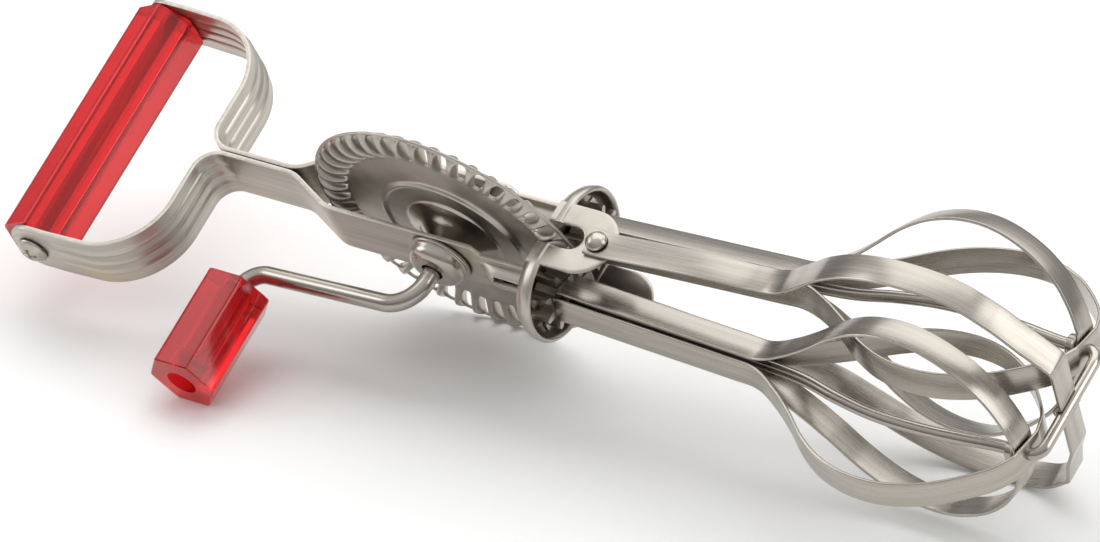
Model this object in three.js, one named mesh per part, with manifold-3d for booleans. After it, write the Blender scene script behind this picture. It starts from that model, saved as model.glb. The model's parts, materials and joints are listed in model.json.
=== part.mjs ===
// A hand-cranked rotary egg beater with a clear red grip and knob, lying on a table.
//
// The tool is built in a frame of its own, in millimetres: X runs along it from the grip to the whisk,
// Y is the wheel's axle with the crank on the -Y side (the "near" side), and Z is the width of the straps.
// The last section tips it over on to the table, +Z up, with its origin under the middle of its box.
import * as THREE from "three";
import { mergeVertices } from "three/addons/utils/BufferGeometryUtils.js";
import Module from "manifold-3d";

const wasm = await Module();
wasm.setup();

// ---------------------------------------------------------------- driving dimensions, in millimetres
const GAP = 0.3; // between pieces that touch
const NEAR = -1; // the sign of Y on the crank's side
const FAR = 1;

const STRAP_WIDTH = 15.4;
const STRAP_THICK = 1.1;
const BOW_Y = 34.25; // middle of the strap beside the grip
const BOW_X = -70.2; // cross run that closes the finger gap
const BOW_BEND = 17.5; // radius of the bend beside the fingers
const NECK_Y = STRAP_THICK / 2 + GAP / 2; // the two straps lie together here
const NEAR_SIDE_Y = -6.9; // middle of each strap beside the wheel
const FAR_SIDE_Y = 11.5;
const STRAP_END_X = 28.4;
const SHOULDER_X = 10.9; // the strap narrows beyond this
const TONGUE_WIDTH = 10;

const GRIP_X = -104.2;
const GRIP_Z = -0.9;
const GRIP_SIDE = 9.0; // one side of its hexagon
const GRIP_HALF = BOW_Y - STRAP_THICK / 2 - GAP;
const TIE_ROD_RADIUS = 2.0;
const SCREW_HEAD_RADIUS = 4.0;

const WHEEL_RADIUS = 38;
const WEB_THICK = 1.0;
const WHEEL_TEETH = 44;
const SLOT_INNER = 30;
const SLOT_OUTER = 36.2;
const BAR_WIDTH = 1.7; // between one slot and the next
const BAR_RISE = 1.9; // how far a bar is pressed out of the web's middle plane
const MESH_RADIUS = 33; // where the pinions bite

const PINION_TEETH = 8;
const PINION_PITCH = (MESH_RADIUS * PINION_TEETH) / WHEEL_TEETH;
const PINION_TIP = 7.8;
const PINION_ROOT = 4.7;
const PINION_X = [30.5, 36.5];
const BEATER_Y = 8.6; // the beater's axis at MESH_RADIUS
const BEATER_SPLAY = Math.atan(0.0474); // and how it spreads from there

const BLADE_WIDTH = 7.0;
const BLADE_THICK = 0.8;
const BUNDLE_RADIUS = 4.25;
const BLADE_START = PINION_X[1] + GAP;
const BLADE_END = 167.6; // where the first loop crosses the axis
const NEAR_PHASE = 75; // degrees from +Y towards +Z
const FAR_PHASE = 60;
const FAR_BEND = [-8, 7]; // the far cage's two loops have been bent a little out of square
const BEND_X = [88, 122]; // where they turn
const BLADE_HOLE = 2.2;

const WIRE_RADIUS = 1.5;
const WIRE_START_X = 19;
const WIRE_CROSS_X = 171.7;
const WIRE_END_Y = 14.9;

const YOKE_X = 28.7;
const YOKE_WALL = 1.0;
const YOKE_RIM_X = 34;
const YOKE_END_RADIUS = 13; // half the yoke's height
const YOKE_END_Y = 7; // centre of each rounded end
const EAR_RADIUS = 8.9;
const EAR_X = 41.3;
const NOTCH_WIDTH = 6.2;
const NOTCH_END_X = 41.2;
const RIVET_X = 45.8;
const RIVET_HEAD_RADIUS = 2.7;
const RIVET_RADIUS = 1.4;

const STAY_WIDTH = 7.0;
const STAY_THICK = 0.9;
const STAY_START_X = 43.5;

const ROD_RADIUS = 2.2;
const BORE_RADIUS = ROD_RADIUS + 0.4;
const ARM_Y = 22.9;
const ARM_LENGTH = 48.8;
const ARM_DROP = THREE.MathUtils.degToRad(5);
const CUP_RADIUS = 8.1;
const CUP_HEIGHT = 4.5;
const COLLAR_RADIUS = 6; // the far strap's plain bearing
const COLLAR_HEIGHT = 0.9;

const KNOB_SIDE = 9.3;
const KNOB_Y = [-56.2, -28.7];
const COUNTERBORE_RADIUS = 3.85;
const COUNTERBORE_DEPTH = 6;

// ---------------------------------------------------------------- finishes
const brushedSteel = new THREE.MeshStandardMaterial({ color: "#a8a198", roughness: 0.38, metalness: 1 });
const polishedSteel = new THREE.MeshStandardMaterial({ color: "#c4beb6", roughness: 0.16, metalness: 1 });
const wireSteel = new THREE.MeshStandardMaterial({ color: "#b0aaa2", roughness: 0.28, metalness: 1 });
const redAcrylic = new THREE.MeshStandardMaterial({ color: "#c8201f", roughness: 0.1, metalness: 0 });

// ---------------------------------------------------------------- solids, outlines and paths
// A closed three.js geometry as a solid that can be joined and cut.
function solid(geometry) {
  const bare = geometry.clone();
  bare.deleteAttribute("normal");
  bare.deleteAttribute("uv");
  const merged = mergeVertices(bare, 1e-4);
  return new wasm.Manifold(
    new wasm.Mesh({
      numProp: 3,
      vertProperties: merged.attributes.position.array,
      triVerts: new Uint32Array(merged.index.array),
    }),
  );
}

// The same solid as a three.js geometry again.
function geometryOf(shape) {
  const mesh = shape.getMesh();
  const geometry = new THREE.BufferGeometry();
  geometry.setAttribute("position", new THREE.BufferAttribute(mesh.vertProperties, 3));
  geometry.setIndex(new THREE.BufferAttribute(mesh.triVerts, 1));
  geometry.computeVertexNormals();
  return geometry;
}

// An outline pushed along one axis. Its two coordinates are the other two axes, in order.
function extrude(outline, axis, from, to) {
  const geometry = new THREE.ExtrudeGeometry(outline, {
    depth: to - from,
    bevelEnabled: false,
    curveSegments: 8,
  });
  if (axis === "x") {
    const turn = new THREE.Matrix4().set(0, 0, 1, from, 1, 0, 0, 0, 0, 1, 0, 0, 0, 0, 0, 1);
    return solid(geometry.applyMatrix4(turn));
  }
  if (axis === "y") return solid(geometry.rotateX(Math.PI / 2).translate(0, to, 0));
  return solid(geometry.translate(0, 0, from));
}

// A round bar between two points.
function bar(from, to, radius, sides = 20) {
  const start = new THREE.Vector3(...from);
  const end = new THREE.Vector3(...to);
  const direction = end.clone().sub(start);
  const geometry = new THREE.CylinderGeometry(radius, radius, direction.length(), sides);
  const turn = new THREE.Quaternion().setFromUnitVectors(
    new THREE.Vector3(0, 1, 0),
    direction.clone().normalize(),
  );
  geometry.applyQuaternion(turn);
  const middle = start.add(end).multiplyScalar(0.5);
  return solid(geometry.translate(middle.x, middle.y, middle.z));
}

// A block between two opposite corners.
function block(low, high) {
  const size = high.map((value, axis) => value - low[axis]);
  const middle = high.map((value, axis) => (value + low[axis]) / 2);
  return solid(new THREE.BoxGeometry(...size).translate(...middle));
}

// A ring or a dome turned about the Y axis, from [radius, y] points that close on themselves.
function turned(profile, segments = 36) {
  const points = [...profile, profile[0]].map(([radius, y]) => new THREE.Vector2(radius, y));
  return solid(new THREE.LatheGeometry(points, segments));
}

// A polygon or a circle as a shape.
function polygon(radius, sides, firstAngle = 0, [x, y] = [0, 0]) {
  const corners = Array.from({ length: sides }, (_, i) => {
    const angle = firstAngle + (i * 2 * Math.PI) / sides;
    return new THREE.Vector2(x + radius * Math.cos(angle), y + radius * Math.sin(angle));
  });
  return new THREE.Shape(corners);
}

// A line through corners [x, y, bend radius], with each bend as an arc of short steps.
function bentLine(corners, stepAngle = 0.26) {
  const line = [];
  corners.forEach(([x, y, radius = 0], i) => {
    const corner = new THREE.Vector2(x, y);
    if (!radius) {
      line.push(corner);
      return;
    }
    const back = new THREE.Vector2(...corners[i - 1].slice(0, 2)).sub(corner).normalize();
    const ahead = new THREE.Vector2(...corners[i + 1].slice(0, 2)).sub(corner).normalize();
    const half = back.angleTo(ahead) / 2;
    const centre = back.clone().add(ahead).normalize().multiplyScalar(radius / Math.sin(half)).add(corner);
    const first = back.clone().multiplyScalar(radius / Math.tan(half)).add(corner).sub(centre);
    const sweep = (Math.PI - 2 * half) * Math.sign(ahead.cross(back));
    const steps = Math.max(2, Math.ceil(Math.abs(sweep) / stepAngle));
    for (let step = 0; step <= steps; step++)
      line.push(first.clone().rotateAround(new THREE.Vector2(), (sweep * step) / steps).add(centre));
  });
  return line;
}

// The outline of a strip of even thickness whose middle follows a line of points.
function stripOutline(line, thickness) {
  const side = (sign) =>
    line.map((point, i) => {
      const ahead = line[Math.min(i + 1, line.length - 1)];
      const along = ahead.clone().sub(line[Math.max(i - 1, 0)]).normalize();
      const across = new THREE.Vector2(-along.y, along.x);
      return point.clone().addScaledVector(across, (sign * thickness) / 2);
    });
  return new THREE.Shape([...side(1), ...side(-1).reverse()]);
}

// A smooth line through [x, y] points.
function smoothLine(points, steps) {
  return new THREE.SplineCurve(points.map(([x, y]) => new THREE.Vector2(x, y))).getPoints(steps);
}

// A round rod along a list of Vector3 points.
function rodAlong(points, radius, sides, steps) {
  const path = new THREE.CatmullRomCurve3(points, false, "centripetal");
  const section = polygon(radius, sides);
  return solid(new THREE.ExtrudeGeometry(section, { extrudePath: path, steps, bevelEnabled: false }));
}

function named(name, shape, material) {
  const mesh = new THREE.Mesh(geometryOf(shape), material);
  mesh.name = name;
  return mesh;
}

const sideName = (side) => (side === NEAR ? "near" : "far");
const sideY = (side) => (side === NEAR ? NEAR_SIDE_Y : FAR_SIDE_Y);

// The distance of a beater's axis from the middle plane at a place along the tool.
const beaterY = (x) => BEATER_Y + (x - MESH_RADIUS) * Math.tan(BEATER_SPLAY);

// ---------------------------------------------------------------- frame straps
// Each strap runs beside the grip, round the finger gap, along the neck and past the wheel to the yoke.
function strap(side) {
  const line = bentLine([
    [-112, side * BOW_Y],
    [-97, side * BOW_Y, 40],
    [BOW_X, side * (BOW_Y - 0.9), BOW_BEND],
    [BOW_X, side * NECK_Y, 6],
    [-44, side * NECK_Y, 9],
    [side === NEAR ? -31 : -29, sideY(side), 9],
    [STRAP_END_X, sideY(side)],
  ]);
  const half = STRAP_WIDTH / 2;
  const tongue = TONGUE_WIDTH / 2;
  const plan = new THREE.Shape(
    [
      [-109.3, -3.2],
      [-107, -6.2],
      [-103, -half],
      [SHOULDER_X, -half],
      [SHOULDER_X + 2.1, -tongue],
      [STRAP_END_X, -tongue],
      [STRAP_END_X, tongue],
      [SHOULDER_X + 2.1, tongue],
      [SHOULDER_X, half],
      [-103, half],
      [-107, 6.2],
      [-109.3, 3.2],
    ].map(([x, z]) => new THREE.Vector2(x, z)),
  );
  const strip = extrude(stripOutline(line, STRAP_THICK), "z", -half, half);
  const trimmed = strip.intersect(extrude(plan, "y", -40, 40));
  return wireChannel(trimmed, side)
    .subtract(bar([0, 0, 0], [0, side * 14, 0], BORE_RADIUS + 0.4, 24))
    .subtract(bar([GRIP_X, side * 30, GRIP_Z], [GRIP_X, side * 38, GRIP_Z], 1.9, 16));
}

// A trough pressed out of the strap's tongue holds the end of the axle wire. Both are pressed towards the crank.
function wireChannel(strip, side) {
  const place = (x) => [x, side * beaterY(x), 0];
  const inner = WIRE_RADIUS + GAP;
  const outer = inner + 0.8;
  const face = sideY(side) + STRAP_THICK / 2;
  const [closed, open] = [17, STRAP_END_X];
  const [low, high] = [place(closed)[1], place(open)[1]].sort((a, b) => a - b);
  const shell = bar(place(closed), place(open), outer, 24)
    .add(block([closed, high, -outer], [open, face, outer]))
    .subtract(block([0, face, -20], [60, face + 10, 20]));
  const mouth = block([WIRE_START_X - 1, high, -inner], [open + 1, face + 1, inner]);
  const window = block([18.5, low - 1.6, 0.7], [25.5, low + 0.6, 5]);
  return strip
    .add(shell)
    .subtract(bar(place(WIRE_START_X - 1), place(open + 2), inner, 20))
    .subtract(mouth)
    .subtract(window);
}

// ---------------------------------------------------------------- grip
function grip() {
  const hexagon = polygon(GRIP_SIDE, 6, Math.PI / 6, [GRIP_X, GRIP_Z]);
  const bore = bar([GRIP_X, -40, GRIP_Z], [GRIP_X, 40, GRIP_Z], TIE_ROD_RADIUS + GAP, 20);
  return extrude(hexagon, "y", -GRIP_HALF, GRIP_HALF).subtract(bore);
}

function gripTieRod() {
  const end = GRIP_HALF - 0.8;
  return bar([GRIP_X, -end, GRIP_Z], [GRIP_X, end, GRIP_Z], TIE_ROD_RADIUS, 20);
}

// A domed screw with a cross recess, through the strap and against the tie rod.
function gripScrew(side) {
  const face = BOW_Y + STRAP_THICK / 2 + GAP;
  const tip = GRIP_HALF - 0.5;
  const profile = [
    [0, tip],
    [1.5, tip],
    [1.5, face],
    [SCREW_HEAD_RADIUS, face],
    [SCREW_HEAD_RADIUS - 0.3, face + 0.8],
    [SCREW_HEAD_RADIUS - 1.6, face + 1.7],
    [0, face + 2.1],
  ];
  const recess = [
    block([-2, face + 1, -0.35], [2, face + 3, 0.35]),
    block([-0.35, face + 1, -2], [0.35, face + 3, 2]),
  ];
  const screw = turned(profile, 24).subtract(recess[0].add(recess[1]));
  const placed = side === NEAR ? screw.mirror([0, 1, 0]) : screw;
  return placed.translate([GRIP_X, 0, GRIP_Z]);
}

// ---------------------------------------------------------------- yoke, stays and axle wire
function stadium(margin) {
  const radius = YOKE_END_RADIUS + margin;
  const outline = new THREE.Shape();
  outline.absarc(YOKE_END_Y, 0, radius, -Math.PI / 2, Math.PI / 2, false);
  outline.absarc(-YOKE_END_Y, 0, radius, Math.PI / 2, (3 * Math.PI) / 2, false);
  return outline;
}

// The shallow dish round the pinions, with an ear above and below and a slot for the wheel.
function gearYoke() {
  const lipX = YOKE_RIM_X - 0.9;
  const dish = extrude(stadium(0), "x", YOKE_X, YOKE_RIM_X)
    .add(extrude(stadium(0.9), "x", lipX, YOKE_RIM_X))
    .subtract(extrude(stadium(-YOKE_WALL), "x", YOKE_X + YOKE_WALL, YOKE_RIM_X + 1));
  const ear = new THREE.Shape();
  ear.moveTo(YOKE_X + YOKE_WALL, -EAR_RADIUS);
  ear.lineTo(EAR_X, -EAR_RADIUS);
  ear.absarc(EAR_X, 0, EAR_RADIUS, -Math.PI / 2, Math.PI / 2, false);
  ear.lineTo(YOKE_X + YOKE_WALL, EAR_RADIUS);
  const outside = YOKE_END_RADIUS;
  const notchCentre = NOTCH_END_X - NOTCH_WIDTH / 2;
  const notch = block([YOKE_X - 2, -NOTCH_WIDTH / 2, -20], [notchCentre, NOTCH_WIDTH / 2, 20]).add(
    bar([notchCentre, 0, -20], [notchCentre, 0, 20], NOTCH_WIDTH / 2, 24),
  );
  let yoke = dish
    .add(extrude(ear, "z", outside - YOKE_WALL, outside))
    .add(extrude(ear, "z", -outside, -outside + YOKE_WALL))
    .subtract(notch)
    .subtract(bar([RIVET_X, 0, -20], [RIVET_X, 0, 20], RIVET_RADIUS + GAP, 16));
  for (const side of [NEAR, FAR]) {
    const hole = bar([YOKE_X - 1, side * beaterY(YOKE_X), 0], [31, side * beaterY(31), 0], 1.9, 20);
    yoke = yoke.subtract(hole);
  }
  return yoke;
}

// The fixed strip round the outside of the beaters, from one ear to the other.
function fixedLoop() {
  const start = YOKE_END_RADIUS + GAP + STAY_THICK / 2;
  const upper = [
    [STAY_START_X, start],
    [50, start + 0.1],
    [76, 17.3],
    [92, 18.4],
    [100, 20.0],
    [108, 25.6],
    [117, 32.4],
    [127, 37.2],
    [140, 39.3],
    [153, 37.6],
    [162, 31.4],
    [168.5, 24],
  ];
  const lower = upper.map(([x, z]) => [x, -z]).slice(0, -1);
  const groove = WIRE_RADIUS + GAP + STAY_THICK / 2;
  const platePoint = (z) => 171.2 + z * 0.195;
  const line = [
    ...smoothLine(upper, 26),
    ...bentLine([
      [170.5, 22],
      [platePoint(17.5), 17.5, 2.5],
      [platePoint(groove + 1), groove + 1],
    ]).slice(1),
    ...grooveLine(groove),
    ...bentLine([
      [platePoint(-groove - 1), -groove - 1],
      [platePoint(-17.5), -17.5, 2.5],
      [164.5, -24],
    ]).slice(0, -1),
    ...smoothLine(lower, 24).reverse(),
  ];
  const holes = bar([RIVET_X, 0, -30], [RIVET_X, 0, 30], RIVET_RADIUS + GAP, 16);
  return extrude(stripOutline(line, STAY_THICK), "z", -STAY_WIDTH / 2, STAY_WIDTH / 2)
    .rotate([90, 0, 0])
    .subtract(holes);
}

// The end of the fixed strip dips round the axle wire, which crosses it there.
function grooveLine(radius) {
  return Array.from({ length: 9 }, (_, i) => {
    const angle = (i * Math.PI) / 8;
    return new THREE.Vector2(WIRE_CROSS_X - radius * Math.sin(angle), radius * Math.cos(angle));
  });
}

function stayRivet(sign) {
  const face = YOKE_END_RADIUS + GAP + STAY_THICK + GAP;
  const tail = YOKE_END_RADIUS - YOKE_WALL - GAP;
  const profile = [
    [0, tail - 0.9],
    [1.7, tail - 0.8],
    [2.2, tail],
    [RIVET_RADIUS, tail],
    [RIVET_RADIUS, face],
    [RIVET_HEAD_RADIUS, face],
    [RIVET_HEAD_RADIUS - 0.3, face + 0.7],
    [RIVET_HEAD_RADIUS - 1.3, face + 1.5],
    [0, face + 1.8],
  ];
  return turned(profile, 16).rotate([sign > 0 ? 90 : -90, 0, 0]).translate([RIVET_X, 0, 0]);
}

// One wire makes both beater axles: out along one side, across the end and back along the other.
function axleWire() {
  const nearSide = [
    [WIRE_START_X, -beaterY(WIRE_START_X)],
    [45, -beaterY(45)],
    [70, -beaterY(70)],
    [95, -beaterY(95)],
    [106, -12.5],
    [116, -14.6],
    [127, -16.2],
    [138, -16.5],
    [150, -15.9],
    [160, -15.0],
    [165, -WIRE_END_Y],
  ];
  const corner = bentLine([
    [167, -WIRE_END_Y],
    [WIRE_CROSS_X, -WIRE_END_Y, 3],
    [WIRE_CROSS_X, -6],
  ]).map(({ x, y }) => [x, y]);
  const near = [...nearSide, ...corner];
  const far = near.map(([x, y]) => [x, -y]).reverse();
  const points = [...near, ...far].map(([x, y]) => new THREE.Vector3(x, y, 0));
  return rodAlong(points, WIRE_RADIUS, 8, 72);
}

// ---------------------------------------------------------------- bearings and crank
const bearingSeat = (side) => Math.abs(sideY(side)) + STRAP_THICK / 2 + GAP;

// A drawn cup with a flange on the crank's side, and a flat collar on the other.
function nearBearing() {
  const face = bearingSeat(NEAR);
  const profile = [
    [BORE_RADIUS, face],
    [CUP_RADIUS, face],
    [CUP_RADIUS, face + 0.8],
    [7.3, face + 0.9],
    [7.0, face + 2.4],
    [6.4, face + 3.5],
    [5.2, face + 4.2],
    [BORE_RADIUS, face + CUP_HEIGHT],
  ];
  return turned(profile).mirror([0, 1, 0]);
}

function farBearing() {
  const face = bearingSeat(FAR);
  return ring(BORE_RADIUS, COLLAR_RADIUS, face, face + COLLAR_HEIGHT);
}

function slotOutline(index) {
  const pitch = (2 * Math.PI) / WHEEL_TEETH;
  const corner = (radius, sign) => {
    const half = pitch / 2 - Math.asin(BAR_WIDTH / 2 / radius);
    const angle = index * pitch + sign * half;
    return new THREE.Vector2(radius * Math.cos(angle), radius * Math.sin(angle));
  };
  const round = 0.8;
  return new THREE.Path([
    corner(SLOT_INNER, 0.45),
    corner(SLOT_INNER + round, 1),
    corner(SLOT_OUTER - round, 1),
    corner(SLOT_OUTER, 0.55),
    corner(SLOT_OUTER, -0.55),
    corner(SLOT_OUTER - round, -1),
    corner(SLOT_INNER + round, -1),
    corner(SLOT_INNER, -0.45),
  ]);
}

// The slotted gear wheel. Each bar between two slots is pressed out on both faces.
function driveWheel() {
  const plate = polygon(WHEEL_RADIUS, 2 * WHEEL_TEETH);
  for (let index = 0; index < WHEEL_TEETH; index++) plate.holes.push(slotOutline(index));
  let wheel = extrude(plate, "y", -WEB_THICK / 2, WEB_THICK / 2);
  const lobe = new THREE.EllipseCurve(0, 0, BAR_RISE, BAR_WIDTH / 2).getPoints(6).slice(0, -1);
  const rib = extrude(new THREE.Shape(lobe), "x", SLOT_INNER + 0.2, SLOT_OUTER - 0.2);
  const turn = 360 / WHEEL_TEETH;
  for (let index = 0; index < WHEEL_TEETH; index++)
    wheel = wheel.add(rib.rotate([0, (index + 0.5) * turn, 0]));
  const bead = turned([
    [17.9, -0.3],
    [18.3, -1.4],
    [19.3, -1.4],
    [19.7, -0.3],
  ]);
  const hub = turned([
    [BORE_RADIUS, -5],
    [4.6, -5],
    [6.2, -3.6],
    [9, -1.8],
    [12.5, -0.3],
    [6.5, 2.0],
    [BORE_RADIUS, 2.0],
  ]);
  return wheel.add(bead).add(hub).subtract(bar([0, -9, 0], [0, 9, 0], BORE_RADIUS, 48));
}

// The crank is one bent rod: the wheel's axle, the arm and the pin that the knob turns on.
function crankRod() {
  const line = bentLine(
    [
      [0, bearingSeat(FAR) + COLLAR_HEIGHT + 2],
      [0, -ARM_Y, 8],
      [ARM_LENGTH, -ARM_Y, 6],
      [ARM_LENGTH, -52.5],
    ],
    0.2,
  );
  const points = line.map(
    ({ x, y }) => new THREE.Vector3(-x * Math.cos(ARM_DROP), y, -x * Math.sin(ARM_DROP)),
  );
  return rodAlong(points, ROD_RADIUS, 12, 44);
}

const ring = (inner, outer, low, high) =>
  turned(
    [
      [inner, low],
      [outer, low],
      [outer, high],
      [inner, high],
    ],
    24,
  );

const knobPlace = [-ARM_LENGTH * Math.cos(ARM_DROP), 0, -ARM_LENGTH * Math.sin(ARM_DROP)];

function knob() {
  const [outer, inner] = KNOB_Y;
  const hexagon = polygon(KNOB_SIDE, 6);
  const bore = bar([0, outer - 1, 0], [0, inner + 1, 0], BORE_RADIUS, 24);
  const counterbore = bar([0, outer - 1, 0], [0, outer + COUNTERBORE_DEPTH, 0], COUNTERBORE_RADIUS, 32);
  return extrude(hexagon, "y", outer, inner).subtract(bore).subtract(counterbore).translate(knobPlace);
}

// ---------------------------------------------------------------- beaters
// Each beater is built on the X axis, then splayed and phased by its group.
function pinion() {
  const outline = [];
  const pitch = (2 * Math.PI) / PINION_TEETH;
  for (let tooth = 0; tooth < PINION_TEETH; tooth++) {
    const profile = [
      [PINION_ROOT, 0.95],
      [PINION_PITCH, 0.85],
      [PINION_TIP - 0.5, 0.62],
      [PINION_TIP, 0.35],
    ];
    const corner = (radius, half, sign) => {
      const angle = tooth * pitch + sign * Math.asin(half / radius);
      return new THREE.Vector2(radius * Math.cos(angle), radius * Math.sin(angle));
    };
    profile.forEach(([radius, half]) => outline.push(corner(radius, half, -1)));
    [...profile].reverse().forEach(([radius, half]) => outline.push(corner(radius, half, 1)));
  }
  return extrude(new THREE.Shape(outline), "x", ...PINION_X).subtract(
    bar([20, 0, 0], [40, 0, 0], WIRE_RADIUS + 0.4, 20),
  );
}

// One strip out along the bundle, round the cage, across the axis and back on the other side.
function bladeLoop(endX) {
  const outward = [
    [BLADE_START, BUNDLE_RADIUS],
    [60, BUNDLE_RADIUS],
    [86, BUNDLE_RADIUS],
    [95, 4.6],
    [103, 8.4],
    [111, 13.6],
    [119, 19.6],
    [127, 23.8],
    [136, 25.8],
    [145, 25.1],
    [154, 21.4],
    [161, 15.9],
    [endX - 2.6, 10.3],
    [endX - 0.35, 5.4],
    [endX, 3.6],
  ];
  const back = outward.map(([x, r]) => [x, -r]).reverse();
  const line = smoothLine([...outward, ...back], 50);
  return extrude(stripOutline(line, BLADE_THICK), "z", -BLADE_WIDTH / 2, BLADE_WIDTH / 2).subtract(
    bar([150, 0, 0], [180, 0, 0], BLADE_HOLE, 20),
  );
}

function eyelet() {
  const face = BLADE_END - BLADE_THICK / 2 - GAP;
  const profile = [
    [WIRE_RADIUS + 0.6, face - 3],
    [2.8, face - 3],
    [2.8, face - 0.8],
    [3.9, face - 0.5],
    [3.9, face],
    [WIRE_RADIUS + 0.6, face],
  ];
  return turned(profile, 20).rotate([0, 0, -90]);
}

// Turns the cage about the beater's axis by some degrees and leaves the bundle as it is.
function twisted(loop, degrees) {
  return loop.warp((vertex) => {
    const share = THREE.MathUtils.smoothstep(vertex[0], ...BEND_X);
    const across = new THREE.Vector2(vertex[1], vertex[2]);
    across.rotateAround(new THREE.Vector2(), THREE.MathUtils.degToRad(degrees * share));
    [vertex[1], vertex[2]] = [across.x, across.y];
  });
}

function beater(side) {
  const phase = side === NEAR ? NEAR_PHASE : FAR_PHASE;
  const [bendA, bendB] = side === NEAR ? [0, 0] : FAR_BEND;
  const name = sideName(side);
  const group = new THREE.Group();
  group.position.set(MESH_RADIUS, side * BEATER_Y, 0);
  group.rotation.z = side * BEATER_SPLAY;
  const pieces = new THREE.Group();
  pieces.position.x = -MESH_RADIUS;
  pieces.add(named(`${name}_pinion`, pinion(), brushedSteel));
  const outerEnd = BLADE_END + BLADE_THICK + GAP;
  pieces.add(named(`${name}_blade_loop_a`, twisted(bladeLoop(BLADE_END), bendA).rotate([phase, 0, 0]), brushedSteel));
  pieces.add(named(`${name}_blade_loop_b`, twisted(bladeLoop(outerEnd), bendB).rotate([phase + 90, 0, 0]), brushedSteel));
  pieces.add(named(`${name}_eyelet`, eyelet(), polishedSteel));
  group.add(pieces);
  return group;
}

// ---------------------------------------------------------------- the whole tool
function frame() {
  const group = new THREE.Group();
  for (const side of [NEAR, FAR]) {
    const name = sideName(side);
    group.add(named(`${name}_frame_strap`, strap(side), brushedSteel));
    group.add(named(`${name}_grip_screw`, gripScrew(side), polishedSteel));
  }
  group.add(named("grip", grip(), redAcrylic));
  group.add(named("grip_tie_rod", gripTieRod(), wireSteel));
  group.add(named("gear_yoke", gearYoke(), brushedSteel));
  group.add(named("fixed_loop", fixedLoop(), brushedSteel));
  group.add(named("upper_stay_rivet", stayRivet(1), polishedSteel));
  group.add(named("lower_stay_rivet", stayRivet(-1), polishedSteel));
  group.add(named("near_bearing_cup", nearBearing(), polishedSteel));
  group.add(named("far_bearing_collar", farBearing(), polishedSteel));
  group.add(named("axle_wire", axleWire(), wireSteel));
  return group;
}

function crank() {
  const group = new THREE.Group();
  const washerSeat = bearingSeat(FAR) + COLLAR_HEIGHT + GAP;
  const spacer = ring(BORE_RADIUS, 4, 2.3, FAR_SIDE_Y - STRAP_THICK / 2 - GAP);
  const pinSeat = KNOB_Y[0] + COUNTERBORE_DEPTH - GAP;
  const retainer = ring(BORE_RADIUS, COUNTERBORE_RADIUS - 0.4, pinSeat - 1, pinSeat).translate(knobPlace);
  group.add(named("drive_wheel", driveWheel(), brushedSteel));
  group.add(named("crank_rod", crankRod(), polishedSteel));
  group.add(named("axle_spacer", spacer, brushedSteel));
  group.add(named("axle_washer", ring(BORE_RADIUS, 4.5, washerSeat, washerSeat + 0.9), polishedSteel));
  group.add(named("knob_retainer", retainer, polishedSteel));
  return group;
}

const tool = new THREE.Group();
tool.add(frame(), crank(), beater(NEAR), beater(FAR), named("knob", knob(), redAcrylic));

// ---------------------------------------------------------------- lying on the table
// The height of the lowest point of some of the pieces.
function lowest(...names) {
  tool.updateMatrixWorld(true);
  return Math.min(
    ...names.map((name) => new THREE.Box3().setFromObject(tool.getObjectByName(name), true).min.z),
  );
}

// It rests on the knob, the wheel's rim and the whisk, so it is tipped until all three are level.
tool.rotation.x = THREE.MathUtils.degToRad(26.5);
for (let pass = 0; pass < 12; pass++) {
  const wheelLow = lowest("drive_wheel");
  tool.rotation.x += (lowest("knob") - wheelLow) / 60;
  tool.rotation.y += (lowest("fixed_loop", "near_blade_loop_a", "near_blade_loop_b") - wheelLow) / 140;
}
tool.updateMatrixWorld(true);
const bounds = new THREE.Box3().setFromObject(tool, true);
tool.position.set(-(bounds.min.x + bounds.max.x) / 2, -(bounds.min.y + bounds.max.y) / 2, -bounds.min.z);

const eggBeater = new THREE.Group();
eggBeater.add(tool);
export default eggBeater;
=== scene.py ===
# %% [markdown]
# # A hand-cranked egg beater in brushed steel and clear red acrylic
# The tool lies on a table. Its moving parts were settled in CAD and come in as a fixed frame; this
# lesson makes the fine surfaces that stand for those plain solids, and finishes them. Everything is
# in metres in the frame's axes, but a maker thinks in millimetres along the tool, so the first step
# is to find the tool's own axes in the frame.

import json
import math

import bmesh
import bpy
import numpy as np
from mathutils import Matrix, Vector


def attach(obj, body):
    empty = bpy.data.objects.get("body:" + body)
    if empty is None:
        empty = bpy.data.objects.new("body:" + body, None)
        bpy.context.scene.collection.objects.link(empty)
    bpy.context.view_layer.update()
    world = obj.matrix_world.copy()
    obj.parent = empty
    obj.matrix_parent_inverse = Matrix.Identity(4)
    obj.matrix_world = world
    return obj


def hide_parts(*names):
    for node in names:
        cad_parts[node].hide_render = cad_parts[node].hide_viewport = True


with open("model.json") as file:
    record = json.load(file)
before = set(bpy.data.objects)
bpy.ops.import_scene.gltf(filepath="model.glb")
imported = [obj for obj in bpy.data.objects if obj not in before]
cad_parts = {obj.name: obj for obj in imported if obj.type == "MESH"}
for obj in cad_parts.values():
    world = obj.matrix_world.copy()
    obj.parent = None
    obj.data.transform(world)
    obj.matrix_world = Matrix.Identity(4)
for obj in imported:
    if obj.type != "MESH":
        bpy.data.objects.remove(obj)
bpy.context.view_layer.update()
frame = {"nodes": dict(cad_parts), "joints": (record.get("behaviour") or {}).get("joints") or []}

MM = 1000.0  # millimetres in a metre

# %% [markdown]
# ## The tool's own axes
# X runs from the grip to the whisk, Y is the wheel's axle and points away from the crank, and Z is
# the width of the straps. The joints say where these are: the crank's hinge is the axle, and the
# two beaters' hinges start side by side, a known way along X. Working in these axes keeps every
# profile below a plain drawing in a plane.

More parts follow.
